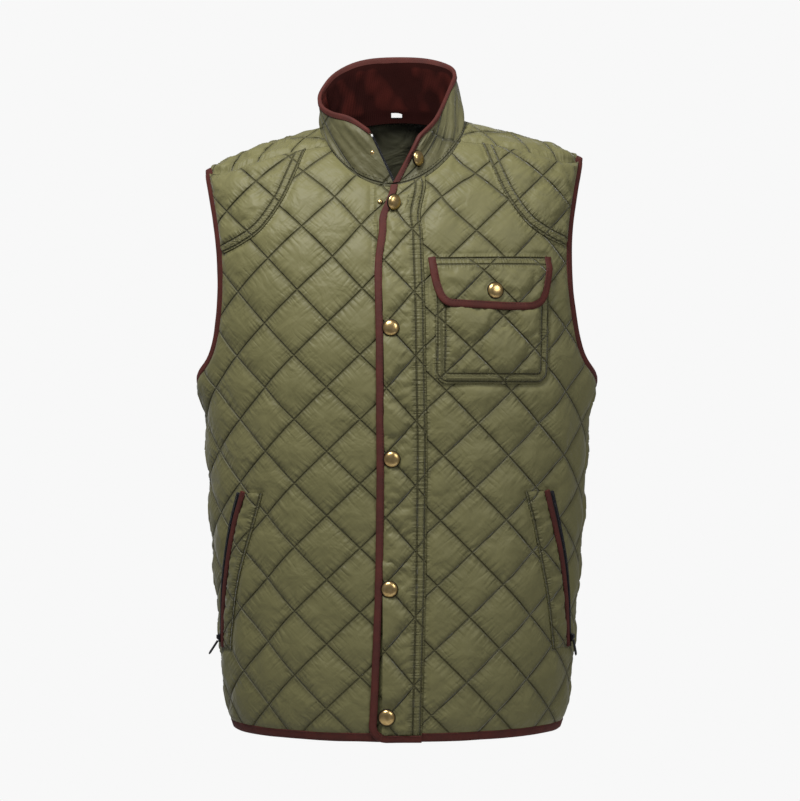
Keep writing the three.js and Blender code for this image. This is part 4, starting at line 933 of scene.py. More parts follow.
def placket_outline():
    """The placket's edges, with the corner at its foot rounded."""
    bottom = HEM_Q + FRONT_BINDING
    turn = np.linspace(0, math.pi / 2, 8)
    corner = np.stack([placket_edge(bottom) + PLACKET_CORNER * (1 - np.sin(turn)),
                       bottom + PLACKET_CORNER * (1 - np.cos(turn))], 1)
    neck = neck_edge("left", 1.3, 0.8, 30)
    top = neck[0][1] - 1
    q = np.linspace(bottom + PLACKET_CORNER, top, 90)[1:]
    edge = np.concatenate([corner, np.stack([placket_edge(q), q], 1)])
    seam = placket_row(PLACKET_SEAM, np.linspace(240, bottom, 60))
    seam = seam[seam[:, 1] < np.interp(seam[:, 0], neck[:, 0], neck[:, 1])]
    end = (seam[0][0], np.interp(seam[0][0], neck[:, 0], neck[:, 1]))
    inner = neck[(neck[:, 0] > edge[-1][0] + 3) & (neck[:, 0] < end[0] - 2)]
    return {"edge": edge, "neck": np.array([edge[-1], *inner, end]),
            "seam": np.array([end, *seam[1:]]), "hem": np.array([seam[-1], edge[0]])}


def patch_outline():
    """The left shoulder patch's edges."""
    inner = spline(PATCH_LINE, 5)
    seam_x = np.linspace(inner[0][0], ARMHOLE_TIP_X - PATCH_OFF, 18)
    shoulder = moved([shoulder_point("left", x) for x in seam_x], -1.5)
    shoulder = shoulder[shoulder[:, 0] > inner[0][0] + 2]
    edge = armhole_line("left", PATCH_OFF)
    edge = edge[edge[:, 1] > inner[-1][1] + 2]
    edge[0] = shoulder[-1]
    return {"inner": inner[::-1], "shoulder": np.array([inner[0], *shoulder]),
            "armhole": np.array([*edge, inner[-1]])}


def pocket_outline():
    """The chest pocket's edges, which lean a little, with round corners."""
    def leaned(points):
        points = np.array(points, float)
        points[:, 0] += POCKET_LEAN * (points[:, 1] - POCKET_LOW) - 1.5
        return points

    def arc(p, start):
        turn = start - np.linspace(0, math.pi / 2, 9)
        return [(p + POCKET_ROUND * math.cos(t), POCKET_LOW + POCKET_ROUND * (1 + math.sin(t)))
                for t in turn]

    right = arc(POCKET_RIGHT - POCKET_ROUND, 0)
    left = arc(POCKET_LEFT + POCKET_ROUND, -math.pi / 2)
    top_left, top_right = (POCKET_LEFT, POCKET_TOP), (POCKET_RIGHT, POCKET_TOP)
    return {"top": leaned([top_left, top_right]), "right": leaned([top_right, right[0]]),
            "bottom": leaned(right + left), "left": leaned([left[-1], top_left])}


def flap_outline():
    """The chest flap's edges inside its binding."""
    edge = moved(spline(FLAP_LINE, 4), FLAP_BINDING / 2)
    return {"top": edge[[0, -1]], "edge": edge[::-1]}


def strip(table, inner, outer):
    """A band beside a side pocket between two lines, each a column of its table and a shift."""
    q = np.linspace(table[0, 0], table[-1, 0], 40)
    low, high = (np.stack([read_table(table[:, 0], table[:, column], q) + shift, q], 1)
                 for column, shift in (inner, outer))
    high = high[::-1]
    return {"inner": low, "top": np.array([low[-1], high[0]]), "outer": high,
            "foot": np.array([high[-1], low[0]])}


def ring_line(p, q, radius):
    """A closed ring round a place on the cloth."""
    turn = np.linspace(0, 2 * math.pi, 25)[:-1]
    return np.stack([p + radius * np.cos(turn), q - radius * np.sin(turn)], 1)


def right_warp(p, q):
    """How the right front's quilting strays from an even lattice."""
    side = smooth(-p, 120, 170) * (1 - smooth(q, -40, 40))
    return 13 * smooth(q, 20, 190) + 4 * side, 7 * smooth(q, 20, 200)


def left_warp(p, q):
    """How the left front's quilting leans to the middle towards the hem and at the neck."""
    top = smooth(q, 172, 206) * (1 - smooth(p, 60, 95))
    return (-4.2 - 0.047 * np.maximum(-10 - q, 0) - 11 * top, 0.008 * np.minimum(q, 0) + 7 * top)


def placket_warp(p, q):
    """The placket's diamonds are narrower than the fronts' and lean a little."""
    lean = 0.0064 * np.maximum(-50 - q, 0)
    return 8.8 - 0.16 * (p - 11.7) - lean, -7.5 * (np.maximum(-100 - q, 0) / 233) ** 2


placket_edges = placket_outline()
patch_edges = patch_outline()
pocket_edges = pocket_outline()
flap_edges = flap_outline()
welt_edges = {side: strip(WELTS[side], (1, 0), (2, -WELT_BINDING)) for side in WELTS}
zip_edges = {side: strip(WELTS[side], (2, 0.6), (2, 0.6 + ZIP_WIDE)) for side in WELTS}
placket_cover = moved(closed_line(placket_edges), 1.5)
right_covers = [placket_cover, closed_line(mirrored(patch_edges)),
                closed_line(mirrored(welt_edges["right"])), closed_line(mirrored(zip_edges["right"]))]
left_covers = [placket_cover, closed_line(patch_edges), closed_line(pocket_edges),
               closed_line(flap_edges), closed_line(welt_edges["left"]),
               closed_line(zip_edges["left"])]
right_edges = mirrored(body_outline("right", -RIGHT_EDGE))
left_edges = body_outline("left", LEFT_EDGE)
quilted("front_right", "right", right_edges, RIGHT_CROSSING, covers=right_covers, seed=21,
        warp=right_warp)
quilted("front_left", "left", left_edges, LEFT_CROSSING, covers=left_covers, seed=31,
        warp=left_warp)


# Placket. A band of the same cloth over the closed fronts, double stitched along one side, and
# bound with folded reddish brown braid along its free edge.
LAID_ON = 2.4
PLACKET_WALL = 3.5
PLACKET_ROWS = (28.2, 20)
PLACKET_CROSSING = (11.7, -261)
SNAP_BED = 6.5
# A stud's place across and up, and how high it stands on the placket
SNAPS = [(-6, 202.5, 1.35), (-6.2, 58.6, 0.7), (-5.5, -87.2, 0.6), (-8, -232.4, 0.7),
         (-11, -375.2, 0.7)]
# Section of the folded braid: share of its width, shift, over or under, and height there
BRAID = [
    (0, -1.6, 1, 0.15), (0, -1.2, 1, 0.95), (0.45, 0, 1, 1.15), (1, -1.3, 1, 1.0),
    (1, -0.3, 1, 0.3), (1, 0, 0, 0), (1, -0.3, -1, 0.3), (1, -1.3, -1, 1.0),
    (0.45, 0, -1, 1.15), (0, -1.2, -1, 0.95), (0, -1.6, -1, 0.15), (0, 1.0, -1, 0.1),
    (0, 2.2, 0, 0), (0, 1.0, 1, 0.1),
]


# Sizes in millimetres on the braid: a rib, its uneven dye and its fuzz. The fuzz of the real one
# is finer, and is drawn as coarse as it needs to show
BRAID_RIB, BRAID_FADE, BRAID_FUZZ = 1.3, 16.7, 1.43


def braid_material():
    """Woven polyester braid: quite dull, ribbed across, with a faint reddish bloom."""
    material, tree, shader = new_material("red brown braid", 0.72, 0.35)
    where = node(tree, "ShaderNodeTexCoord").outputs["Object"]
    run = node(tree, "ShaderNodeAttribute", attribute_name="run").outputs["Fac"]
    faded = node(tree, "ShaderNodeTexNoise", {"Vector": where}, Scale=1000 / BRAID_FADE,
                 Detail=3.0).outputs["Fac"]
    tone = node(tree, "ShaderNodeMix", {"Factor": faded, 6: "38140E", 7: "5A2319"},
                data_type="RGBA")
    turn = node(tree, "ShaderNodeMath", {0: run, 1: 2 * math.pi / BRAID_RIB},
                operation="MULTIPLY")
    ribs = node(tree, "ShaderNodeMath", {0: turn}, operation="SINE")
    fuzz = node(tree, "ShaderNodeTexNoise", {"Vector": where}, Scale=1000 / BRAID_FUZZ,
                Detail=2.0).outputs["Fac"]
    height = node(tree, "ShaderNodeMath", {0: ribs, 1: 0.4, 2: fuzz}, operation="MULTIPLY_ADD")
    bump = node(tree, "ShaderNodeBump", {"Height": height}, Strength=0.5, Distance=0.0004)
    feed(tree, shader, {"Base Color": tone.outputs[2], "Normal": bump, "Sheen Weight": 0.08,
                        "Sheen Roughness": 0.5, "Sheen Tint": "B05A4C"})
    return material


BRAID_CLOTH = braid_material()
# The same thread in the braid's colour, which shows by its small shadows
BRAID_THREAD = plain("brown thread", "3A1B17", 0.7, 0.3)
# From one stitch to the next, a stitch's length and its thickness, in millimetres
BRAID_STITCH = (3.6, 2.6, 0.6)


def swept(name, rings, material, closed=False):
    """A closed solid through rings of points, with values along its length."""
    rings = np.asarray(rings)
    count, sides = rings.shape[:2]
    flat = rings.reshape(-1, 3)
    faces = []
    for a in range(count if closed else count - 1):
        b = (a + 1) % count
        for k in range(sides):
            m = (k + 1) % sides
            faces.append([a * sides + k, a * sides + m, b * sides + m, b * sides + k])
    if not closed:
        faces.append(list(range(sides))[::-1])
        faces.append([(count - 1) * sides + k for k in range(sides)])
    volume = sum(float(np.dot(flat[f[0]], np.cross(flat[f[1]], flat[f[2]])))
                 + float(np.dot(flat[f[0]], np.cross(flat[f[2]], flat[f[-1]]))) * (len(f) == 4)
                 for f in faces)
    if volume < 0:
        faces = [f[::-1] for f in faces]
    middle = rings.mean(1)
    run = np.concatenate([[0], np.cumsum(np.linalg.norm(np.diff(middle, axis=0), axis=1))])
    piece = new_mesh(name, flat, faces, material, run=np.repeat(run, sides))
    piece.data.set_sharp_from_angle(angle=math.radians(60))
    return piece


def braid_rings(face, line, off, width, low, top):
    """Sections of the folded braid along a line, off being its way out from the edge."""
    wide = width + 0.3 * crumple(5, line[:, 0] + line[:, 1], line[:, 1], 23)
    rings = []
    for share, shift, side, rise in BRAID:
        place = line + off * (share * wide + shift)[:, None]
        foot, head = height_over(low, line), height_over(top, line)
        height = {1: head + rise, -1: foot - rise, 0: (foot + head) / 2}[side]
        rings.append(cloth_at(face, place, height))
    return np.stack(rings, 1)


def braid_seam(rings):
    """Where a braid's row of stitches runs on its outside."""
    return rings[:, 1] * 0.75 + rings[:, 2] * 0.25


def bound(name, parts, width, low, top, closed=False):
    """A braid folded over the edge of a piece and sewn through, with its row of stitches."""
    rings = np.concatenate([
        braid_rings(face, line, off, width, low, top) for face, line, off in parts])
    piece = swept("braid_" + name, rings, BRAID_CLOTH, closed)
    fixed(piece, name)
    sewn(name, on_top(piece, [evenly(braid_seam(rings))]), BRAID_THREAD, *BRAID_STITCH)
    return piece


placket_rows = [placket_row(p, np.linspace(HEM_Q + 10, 232, 60)) for p in PLACKET_ROWS]
quilted("placket", "left", placket_edges, PLACKET_CROSSING, base=LAID_ON, wall=PLACKET_WALL,
        puff=3.0, covers=[ring_line(p, q, SNAP_BED) for p, q, _ in SNAPS], rows=placket_rows,
        edge=0.5, pressure=1.2, seed=41, warp=placket_warp)
placket_side = evenly(np.concatenate([placket_edges["hem"], placket_edges["edge"][1:]]))
bound("placket_binding", [("left", placket_side, sideways(placket_side))], FRONT_BINDING,
      3.6, 5.7)


# Shoulder patches. Quilted pieces on the fronts from the shoulder seams to the armholes, each
# held by a double row of stitches along its curved inner edge.
PATCH_CROSSINGS = {"right": (-158.9, 236.8), "left": (172.9, 232.2)}
for side in ("right", "left"):
    edges = mirrored(patch_edges) if side == "right" else patch_edges
    line = spline(PATCH_LINE, 4)
    rows = [moved(line, 1.8), moved(line, 9.6)]
    if side == "right":
        rows = [row * (-1, 1) for row in rows]
    quilted("shoulder_patch_" + side, side, edges, PATCH_CROSSINGS[side], base=LAID_ON, wall=2.5,
            puff=2.6, rows=rows, edge=0.5, pressure=1.2, seed=51)


# Chest pocket and flap. A quilted pocket with rounded lower corners and a double row of
# stitches, under a flap that is stitched down along its top and bound round its edge.
FLAP_BASE = 6.4
FLAP_SNAP = (111, 99.8)
rim = evenly(np.concatenate([pocket_edges[name] for name in ("right", "bottom", "left")]))
quilted("chest_pocket", "left", pocket_edges, (120.9, 72), base=LAID_ON, wall=3.2, puff=3.0,
        covers=[closed_line(flap_edges)], rows=[moved(rim, -2.0), moved(rim, -10.6)], edge=0.5,
        pressure=1.2, seed=61)


def flap_base(at):
    """How high the flap lies: on the front at its top, on the pocket below."""
    return LAID_ON + (FLAP_BASE - LAID_ON) * (1 - smooth(at[:, 1], 124, 137))


flap_rows = [np.array([(p_low, q), (p_high, q)]) for p_low, p_high, q in (
    (46, 175, 136.6), (47, 174.5, 129))]
quilted("chest_flap", "left", flap_edges, (99.4, 121), base=flap_base, wall=2.2, puff=2.4,
        covers=[ring_line(*FLAP_SNAP, SNAP_BED)], rows=flap_rows, edge=0.7, pressure=1.2, seed=71)
flap_side = evenly(flap_edges["edge"], 2.5)
bound("flap_binding", [("left", flap_side, sideways(flap_side))], FLAP_BINDING,
      lambda at: flap_base(at) + 1.0, lambda at: flap_base(at) + 2.2)


# Side pockets. Each has a slanted welt with a bound edge, a zip on dark tape beside it, and a
# black slider whose pull tab hangs from a small bridge.
# Woven polyester tape is flat black, the nylon coil has a soft gleam and a blue cast, and the
# lacquered metal a harder one
TAPE = plain("black tape", "17171A", 0.75, 0.3)
COIL = plain("black coil", "1B1D26", 0.35, 0.5)
BLACK_METAL = plain("black metal", "1D1D20", 0.32, 0.5, 0.4)
# Heights over the inside of the cloth: a welt's under and upper side, and the tape's
WELT_LOW_TOP = (3.6, 5.2)
TAPE_UNDER, TAPE_TOP = 3.9, 4.6


def thin(name, grid, face, under, over, material, replaces):
    """A plain cloth piece between two heights."""
    faces = [f[::-1] for f in grid["faces"]] if face == "back" else grid["faces"]
    at = grid["at"]
    points = np.concatenate([cloth_at(face, at, over(at)), cloth_at(face, at, under(at))])
    piece = new_mesh(name, points, walled(faces, len(at)), material)
    return fixed(piece, replaces)


def dressed(cad_node, material, body="vest", round_off=0.00035):
    """A copy of a solid's own mesh with softened edges."""
    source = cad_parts[cad_node]
    mesh = source.data.copy()
    shape = bmesh.new()
    shape.from_mesh(mesh)
    bmesh.ops.remove_doubles(shape, verts=shape.verts, dist=0.00001)
    bmesh.ops.dissolve_limit(shape, angle_limit=0.02, verts=shape.verts, edges=shape.edges)
    bmesh.ops.bevel(shape, geom=shape.edges[:], offset=round_off, segments=2, affect="EDGES")
    shape.to_mesh(mesh)
    shape.free()
    mesh.materials.clear()
    mesh.materials.append(material)
    piece = bpy.data.objects.new(cad_node + "_finish", mesh)
    bpy.context.scene.collection.objects.link(piece)
    piece.matrix_world = source.matrix_world
    return fixed(piece, cad_node, body)


for side in ("right", "left"):
    turn = (-1, 1) if side == "right" else (1, 1)
    edges, tape = welt_edges[side], zip_edges[side]
    seam = edges["inner"] + (2.0, 0)
    outer = edges["outer"][::-1]
    if side == "right":
        edges, tape = mirrored(edges), mirrored(tape)
    crossing = RIGHT_CROSSING if side == "right" else LEFT_CROSSING
    quilted("side_welt_" + side, side, edges, crossing, base=LAID_ON, wall=2.9, puff=1.6,
            rows=[seam * turn], edge=0.5, pressure=1.0, seed=81)
    outer = evenly(outer)
    bound("welt_binding_" + side, [(side, outer * turn, sideways(outer) * (-1, -1) * turn)],
          WELT_BINDING, *WELT_LOW_TOP)
    grid = cloth_grid(tape, crossing, 24)
    zip_tape = thin("tape_" + side, grid, side, lambda at: height_over(TAPE_UNDER, at),
                    lambda at: height_over(TAPE_TOP, at), TAPE, "side_zip_" + side)
    middle = (zip_edges[side]["inner"] + zip_edges[side]["outer"][::-1]) / 2 * turn
    middle = evenly(middle)
    middle = cloth_at(side, middle, np.full(len(middle), TAPE_TOP + 0.3))
    sewn("side_coil_" + side, [middle], COIL, 1.5, 1.1, 2.4)
    dressed("side_slider_" + side, BLACK_METAL)
    dressed("side_pull_" + side, BLACK_METAL, "pull_" + side)


# Bindings of the armholes and the hem. Folded braid, closed round each armhole, and along the
# hem from one front edge to the other.
BODY_LOW, BODY_TOP = 0.1, 1.9
for side in ("right", "left"):
    turn = (-1, 1) if side == "right" else (1, 1)
    ahead = evenly(left_edges["armhole"])
    behind = evenly(body_outline("back", 0)["armhole"])
    bound("armhole_binding_" + side, [
        (side, ahead * turn, sideways(ahead) * turn),
        ("back", (behind * turn)[::-1], (sideways(behind) * turn)[::-1]),
    ], ARMHOLE_BINDING, BODY_LOW, BODY_TOP, closed=True)
down = np.array([(0.0, -1.0)])
hem_left = evenly(left_edges["hem"][::-1], 4.0)
hem_right = evenly(right_edges["hem"][::-1], 4.0)
hem_back = evenly(np.concatenate([back_edges["hem"], back_edges["hem_2"][1:]]), 4.0)
bound("hem_binding", [
    (face, line, np.repeat(down, len(line), 0))
    for face, line in (("left", hem_left), ("back", hem_back), ("right", hem_right))
], HEM_BINDING, BODY_LOW, BODY_TOP)


# Body lining. Smooth black green nylon, hung just inside the back and both fronts; a curved
# seam under the nape joins a half moon facing to the back.
LINING_GAP, LINING_RIM_GAP, LINING_WALL, LINING_INSET = 2.8, 1.7, 0.8, 4.5
LINING_NECK_OFF = 2.0


LINING_FOLD = 45.5


def lining_material():
    """Thin nylon lining: smooth and near black, with broad soft gleams painted into its colour on the
    tops of its folds.
    """
    material, tree, shader = new_material("black green nylon", 0.42, 0.4)
    where = node(tree, "ShaderNodeTexCoord").outputs["Object"]
    folds = node(tree, "ShaderNodeTexNoise", {"Vector": where}, Scale=1000 / LINING_FOLD,
                 Detail=3.0, Distortion=0.8).outputs["Fac"]
    # Painted highlight: the colour turns lighter where the folds of the bump rise
    lit = node(tree, "ShaderNodeMapRange", {"Value": folds}, From_Min=0.38, From_Max=0.66)
    tone = node(tree, "ShaderNodeMix", {"Factor": lit, 6: "1D1D17", 7: "4B4A38"},
                data_type="RGBA")
    bump = node(tree, "ShaderNodeBump", {"Height": folds}, Strength=0.8, Distance=0.012)
    feed(tree, shader, {"Base Color": tone.outputs[2], "Normal": bump})
    return material


NYLON = lining_material()
# A thicker thread that lies paler on the dark nylon
YOKE_THREAD = plain("nylon thread", "55543F", 0.6, 0.3)
YOKE_Q = pattern_at("back", 0.01, z=13)[1]
for name, face, edges in (
    ("lining_back", "back", whole_back(body_outline("back", 0, LINING_NECK_OFF, LINING_INSET))),
    ("lining_right", "right",
     mirrored(body_outline("right", -RIGHT_EDGE + 4, LINING_NECK_OFF, LINING_INSET))),
    ("lining_left", "left", body_outline("left", LEFT_EDGE + 4, LINING_NECK_OFF, LINING_INSET)),
):
    grid = cloth_grid(edges, (0, 0), 8)
    gap = np.where(grid["rim"] & (grid["at"][:, 1] > 60), LINING_RIM_GAP, LINING_GAP)
    gap = gap + 1.2 * (1 + crumple(7, *grid["at"].T, 40)) * smooth(
        locate(grid["line"], grid["at"])[1], 0, 30)

    def over(at, gap=gap, face=face):
        return -fold_height(face, *at.T) - gap

    piece = thin("nylon_" + name, grid, face, lambda at: over(at) - LINING_WALL, over, NYLON,
                 name)
    if face == "back":
        across = np.linspace(-48, 52, 60)
        arc = np.stack([across, YOKE_Q + 26 * (across / 50) ** 2], 1)
        sewn("yoke", on_top(piece, [cloth_at(face, arc, -9)]), YOKE_THREAD, 3.0, 2.6, 0.9)


# Collar. A quilted stand collar round the neck seam, lined with wine red corduroy and bound
# with braid along its top and down the end that snaps over the other.
COLLAR_TOP = np.array([
    (-28.6, -86, -11), (-49.5, -74, 4.5), (-69.6, -53, 12), (-81.5, -29, 21.5), (-86, 0, 36),
    (-82.5, 24, 52), (-70, 45, 72), (-50.6, 56, 85), (-30, 60, 91), (7, 62, 93.5),
    (37, 59, 92), (56, 51, 86.5), (66.5, 40, 79), (69.5, 26, 67), (66.2, 10, 55), (59.5, -8, 37),
    (52.3, -30, 19), (44, -55, 2), (26.3, -82, -19),
], float)
COLLAR_BINDING = 6.5
COLLAR_LONG, COLLAR_TALL = 460, 64
COLLAR_V = 1 - COLLAR_BINDING / COLLAR_TALL
COLLAR_END = 1 - COLLAR_BINDING / COLLAR_LONG
COLLAR_IN, COLLAR_OUT = 1.5, 3.7
COLLAR_STEPS = 600

turns = -np.linspace(0.0004, 2 * math.pi - 0.0004, 721)
foot_x, foot_y = neck_point(turns, 0)
ridge, height, reach_front, reach_back, power_front, power_back = arch_shape(foot_x)
in_front = foot_y < ridge
reach = np.where(in_front, reach_front, reach_back)
power = np.where(in_front, power_front, power_back)
share = np.clip(np.abs(foot_y - ridge) / reach, 0, 1)
foot_z = CHEST_Z + height * (1 - share**power) ** (1 / power)
collar_foot = evenly(hang(np.stack([foot_x, foot_y, foot_z], 1)), count=COLLAR_STEPS + 1)
collar_top = spline(COLLAR_TOP, count=COLLAR_STEPS + 1)


def collar_line(s, v):
    """Points on the collar's inner face, s of the way round from its right end and v up."""
    k = np.clip(s, 0, 1) * COLLAR_STEPS
    even = np.arange(COLLAR_STEPS + 1)
    foot, top = (np.stack([np.interp(k, even, line[:, axis]) for axis in range(3)], -1)
                 for line in (collar_foot, collar_top))
    return foot + (top - foot) * np.asarray(v)[..., None]


def unit(v):
    """Directions of length one."""
    return v / np.linalg.norm(v, axis=-1, keepdims=True)


def collar_at(s, v, height, along=0.0, up=0.0):
    """Points at a height outside the collar's inner face."""
    s, v = np.broadcast_arrays(np.asarray(s, float), np.asarray(v, float))
    way = unit(collar_line(s + 0.004, v) - collar_line(s - 0.004, v))
    rise = unit(collar_line(s, 1 + 0 * v) - collar_line(s, 0 * v))
    out = unit(np.cross(way, rise))
    height, along, up = (np.asarray(k, float) + 0 * s for k in (height, along, up))
    return (collar_line(s, v) - out * height[..., None] + way * along[..., None]
            + rise * up[..., None])


def face_out(piece):
    """Turns a closed mesh whose faces point inwards."""
    shape = bmesh.new()
    shape.from_mesh(piece.data)
    if shape.calc_volume(signed=True) < 0:
        bmesh.ops.reverse_faces(shape, faces=shape.faces)
    shape.to_mesh(piece.data)
    shape.free()


def collar_shell(name, low, high, material, slot, replaces, **values):
    """A band round the neck between two heights that are given on its points."""
    count, tall = low.shape[:2]
    number = np.arange(count * tall).reshape(count, tall)
    ring = [number[:-1, :-1], number[1:, :-1], number[1:, 1:], number[:-1, 1:]]
    faces = np.stack(ring, -1).reshape(-1, 4).tolist()
    size = count * tall
    made = [f[::-1] for f in faces] + [[k + size for k in f] for f in faces]
    made += [[a, b, b + size, a + size] for a, b in border_of(faces)]
    piece = new_mesh(name, np.concatenate([high.reshape(-1, 3), low.reshape(-1, 3)]), made,
                     material, **{label: np.concatenate([value.reshape(size, *value.shape[2:])] * 2)
                                  for label, value in values.items()})
    face_out(piece)
    piece.data.set_sharp_from_angle(angle=math.radians(55))
    return fixed(piece, replaces)


def end_slant(v):
    """The collar's free end leans out towards the neck seam."""
    return 0.0065 * (1 - v / COLLAR_V)


s, v = np.meshgrid(np.linspace(0, 1, 220), np.linspace(-0.06, COLLAR_V, 25), indexing="ij")
s = s * (COLLAR_END + end_slant(v))
long, tall = s * COLLAR_LONG, v * COLLAR_TALL
quilt_u, quilt_v = (long - 24) / 112, (tall + 14) / 106
rimmed = (smooth(tall, 1, 9) * smooth(COLLAR_V * COLLAR_TALL - tall, 0, 8) * smooth(long, 0, 8)
          * smooth(COLLAR_END * COLLAR_LONG - long, 0, 8))
share = (np.abs(np.sin(math.pi * (quilt_u - quilt_v))) * np.abs(
    np.sin(math.pi * (quilt_u + quilt_v)))) ** 0.6
slant = np.abs(long - COLLAR_LONG / 2) + 0.9 * tall
creases = 1.9 * crumple(91, slant, tall * 0.3, 13) + 1.0 * crumple(92, slant, tall * 0.4, 7)
puff = (1.4 * share + creases + 0.2) * rimmed
# The collar's outside takes the darker taffeta copy, its painted shade
collar = collar_shell(
    "quilted_collar", collar_at(s, v, COLLAR_IN), collar_at(s, v, COLLAR_OUT - 0.3 + puff),
    SHADED_COLLAR_OLIVE, "quilted_shell", "collar",
    quilt=np.stack([quilt_u - quilt_v, quilt_u + quilt_v, 9.9 + 0 * s], -1),
    rows=np.stack([long / 10, tall / 10, 9.9 + 0 * s], -1))


# Sizes in millimetres on the corduroy: a rib, its worn clouds and its pile. The pile of the real
# one is finer, and is drawn as coarse as it needs to show
CORD_RIB, CORD_FADE, CORD_PILE = 2.1, 33.3, 1.11


def corduroy():
    """Cotton corduroy: very dull, ribbed upright, with a lighter, redder painted highlight on the
    ridges of its folds.
    """
    material, tree, shader = new_material("wine corduroy", 0.95, 0.08)
    run = node(tree, "ShaderNodeAttribute", attribute_name="run").outputs["Fac"]
    fold = node(tree, "ShaderNodeAttribute", attribute_name="fold").outputs["Fac"]
    where = node(tree, "ShaderNodeTexCoord").outputs["Object"]
    faded = node(tree, "ShaderNodeTexNoise", {"Vector": where}, Scale=1000 / CORD_FADE,
                 Detail=3.0).outputs["Fac"]
    tone = node(tree, "ShaderNodeMix", {"Factor": faded, 6: "190705", 7: "290C09"},
                data_type="RGBA")
    # Painted highlight: the colour is lighter and redder on the ridges of the collar lining's folds
    lit = node(tree, "ShaderNodeMapRange", {"Value": fold}, From_Min=0.45, From_Max=1.0,
               To_Max=0.6)
    tone = node(tree, "ShaderNodeMix", {"Factor": lit, 6: tone.outputs[2], 7: "55211A"},
                data_type="RGBA")
    turn = node(tree, "ShaderNodeMath", {0: run, 1: 2 * math.pi / CORD_RIB},
                operation="MULTIPLY")
    ribs = node(tree, "ShaderNodeMath", {0: turn}, operation="SINE")
    pile = node(tree, "ShaderNodeTexNoise", {"Vector": where},
                Scale=1000 / CORD_PILE).outputs["Fac"]
    height = node(tree, "ShaderNodeMath", {0: ribs, 1: pile}, operation="ADD")
    bump = node(tree, "ShaderNodeBump", {"Height": height}, Strength=0.5, Distance=0.0006)
    feed(tree, shader, {"Base Color": tone.outputs[2], "Normal": bump, "Sheen Weight": 0.12,
                        "Sheen Roughness": 0.4, "Sheen Tint": "9A4438"})
    return material


fold = 0.5 + 0.34 * crumple(94, long + 0.5 * tall, tall * 0.3, 15) + 0.16 * crumple(
    95, long - 0.4 * tall, tall * 0.5, 8)
drape = 4.0 * fold * rimmed
deep = v - 0.08 * (1 - smooth(v, -0.06, 0.3))
lining = collar_shell(
    "corduroy_lining", collar_at(s, deep, -drape), collar_at(s, deep, 1.0 - drape), corduroy(),
    "collar_lining", "collar_lining", run=long, fold=fold * rimmed)


def collar_ring(place):
    """The braid's section on the collar: place gives its points by distance out and height."""
    return np.stack([place(share * COLLAR_BINDING + shift, {
        1: COLLAR_OUT - 0.35 + rise, -1: 0.9 - rise, 0: 2.0}[side])
        for share, shift, side, rise in BRAID], 1)


top_s = np.linspace(0, COLLAR_END, 150)
end_v = np.linspace(COLLAR_V, 0.03, 20)
corner = np.linspace(0, math.pi / 2, 7)[1:-1]
collar_rings = np.concatenate([
    collar_ring(lambda off, height: collar_at(top_s, COLLAR_V, height, 0, off)),
    collar_ring(lambda off, height: collar_at(
        np.full(5, COLLAR_END), COLLAR_V, height, off * np.sin(corner), off * np.cos(corner))),
    collar_ring(lambda off, height: collar_at(
        COLLAR_END + end_slant(end_v), end_v, height, off, 0)),
])
collar_braid = swept("braid_collar", collar_rings, BRAID_CLOTH)
fixed(collar_braid, "collar_binding")
sewn("collar_seam", on_top(collar, [collar_at(np.linspace(0.01, COLLAR_END, 150), 0.07, 5)]))
sewn("collar_edge", on_top(collar_braid, [braid_seam(collar_rings)]), BRAID_THREAD, *BRAID_STITCH)


# Zips. The front zip is closed under the placket; its coil comes out at the neck, on the
# collar's other end, with a white stop on top.
zip_v = np.linspace(0.03, COLLAR_V - 0.02, 16)
coil = swept("collar_tape", np.stack([
    collar_at(0 * zip_v, zip_v, height, -off) for off, height in
    ((0.3, 0.8), (2.2, 0.8), (2.2, 2.6), (0.3, 2.6))], 1), TAPE)
fixed(coil, "collar_zip")
sewn("collar_coil", [collar_at(0 * zip_v, zip_v, 1.9, -2.6)], COIL, 1.5, 1.1, 2.2)
dressed("front_zip", TAPE, round_off=0.0002)
# Enamelled metal, white and evenly shiny
WHITE_METAL = plain("white stop", "DADAD6", 0.4, 0.5)
stop_v = np.array([COLLAR_V - 0.03, COLLAR_V - 0.02])
sewn("zip_stop", [collar_at(0 * stop_v, stop_v, 2.4, -1.8)], WHITE_METAL, 5, 3.4, 2.8)


# Press studs. Domed antique brass caps, each on a ring that presses the cloth and is painted near
# black as the shadow round the cap; two small studs on the right side of the neck take the caps of
# the placket and the collar.
WEAR_SIZE = 3.85


def brass_material():
    """Antique brass: polished metal that is browner in small worn spots."""
    material, tree, shader = new_material("antique brass", 0.3, 0.5, 1.0)
    where = node(tree, "ShaderNodeTexCoord").outputs["Object"]
    worn = node(tree, "ShaderNodeTexNoise", {"Vector": where}, Scale=1000 / WEAR_SIZE,
                Detail=4.0).outputs["Fac"]
    tone = node(tree, "ShaderNodeMix", {"Factor": worn, 6: "A07C44", 7: "E6CB92"},
                data_type="RGBA")
    bump = node(tree, "ShaderNodeBump", {"Height": worn}, Strength=0.25, Distance=0.0004)
    feed(tree, shader, {"Base Color": tone.outputs[2], "Normal": bump})
    return material


BRASS = brass_material()
# The rings under the caps, which barely shine: their near-black colour is painted shadow round each
# cap
SHADOW_RING_BRASS = plain("shadow ring brass", "1E150C", 0.5, 0.5, 0.6)
# Profiles of a cap and of its ring, as shares of the radius and of the height
CAP = [(0.0, 0.0), (0.8, 0.0), (0.95, 0.04), (1.0, 0.12), (1.0, 0.22), (0.96, 0.38), (0.86, 0.6),
       (0.7, 0.79), (0.5, 0.91), (0.26, 0.98), (0.0, 1.0)]
SOCKET = [(0.0, -0.5), (1.0, -0.5), (1.09, -0.2), (1.1, 0.02), (1.06, 0.1), (0.9, 0.1), (0.0, 0.1)]
SNAP_RADIUS, SNAP_HEIGHT = 8.9, 4.4
STUD_RADIUS, STUD_HEIGHT = 2.8, 1.8
# Heights of the placket and the flap over the inside of the cloth, where the studs press them
PLACKET_TOP, FLAP_TOP = 6.37, 9.15


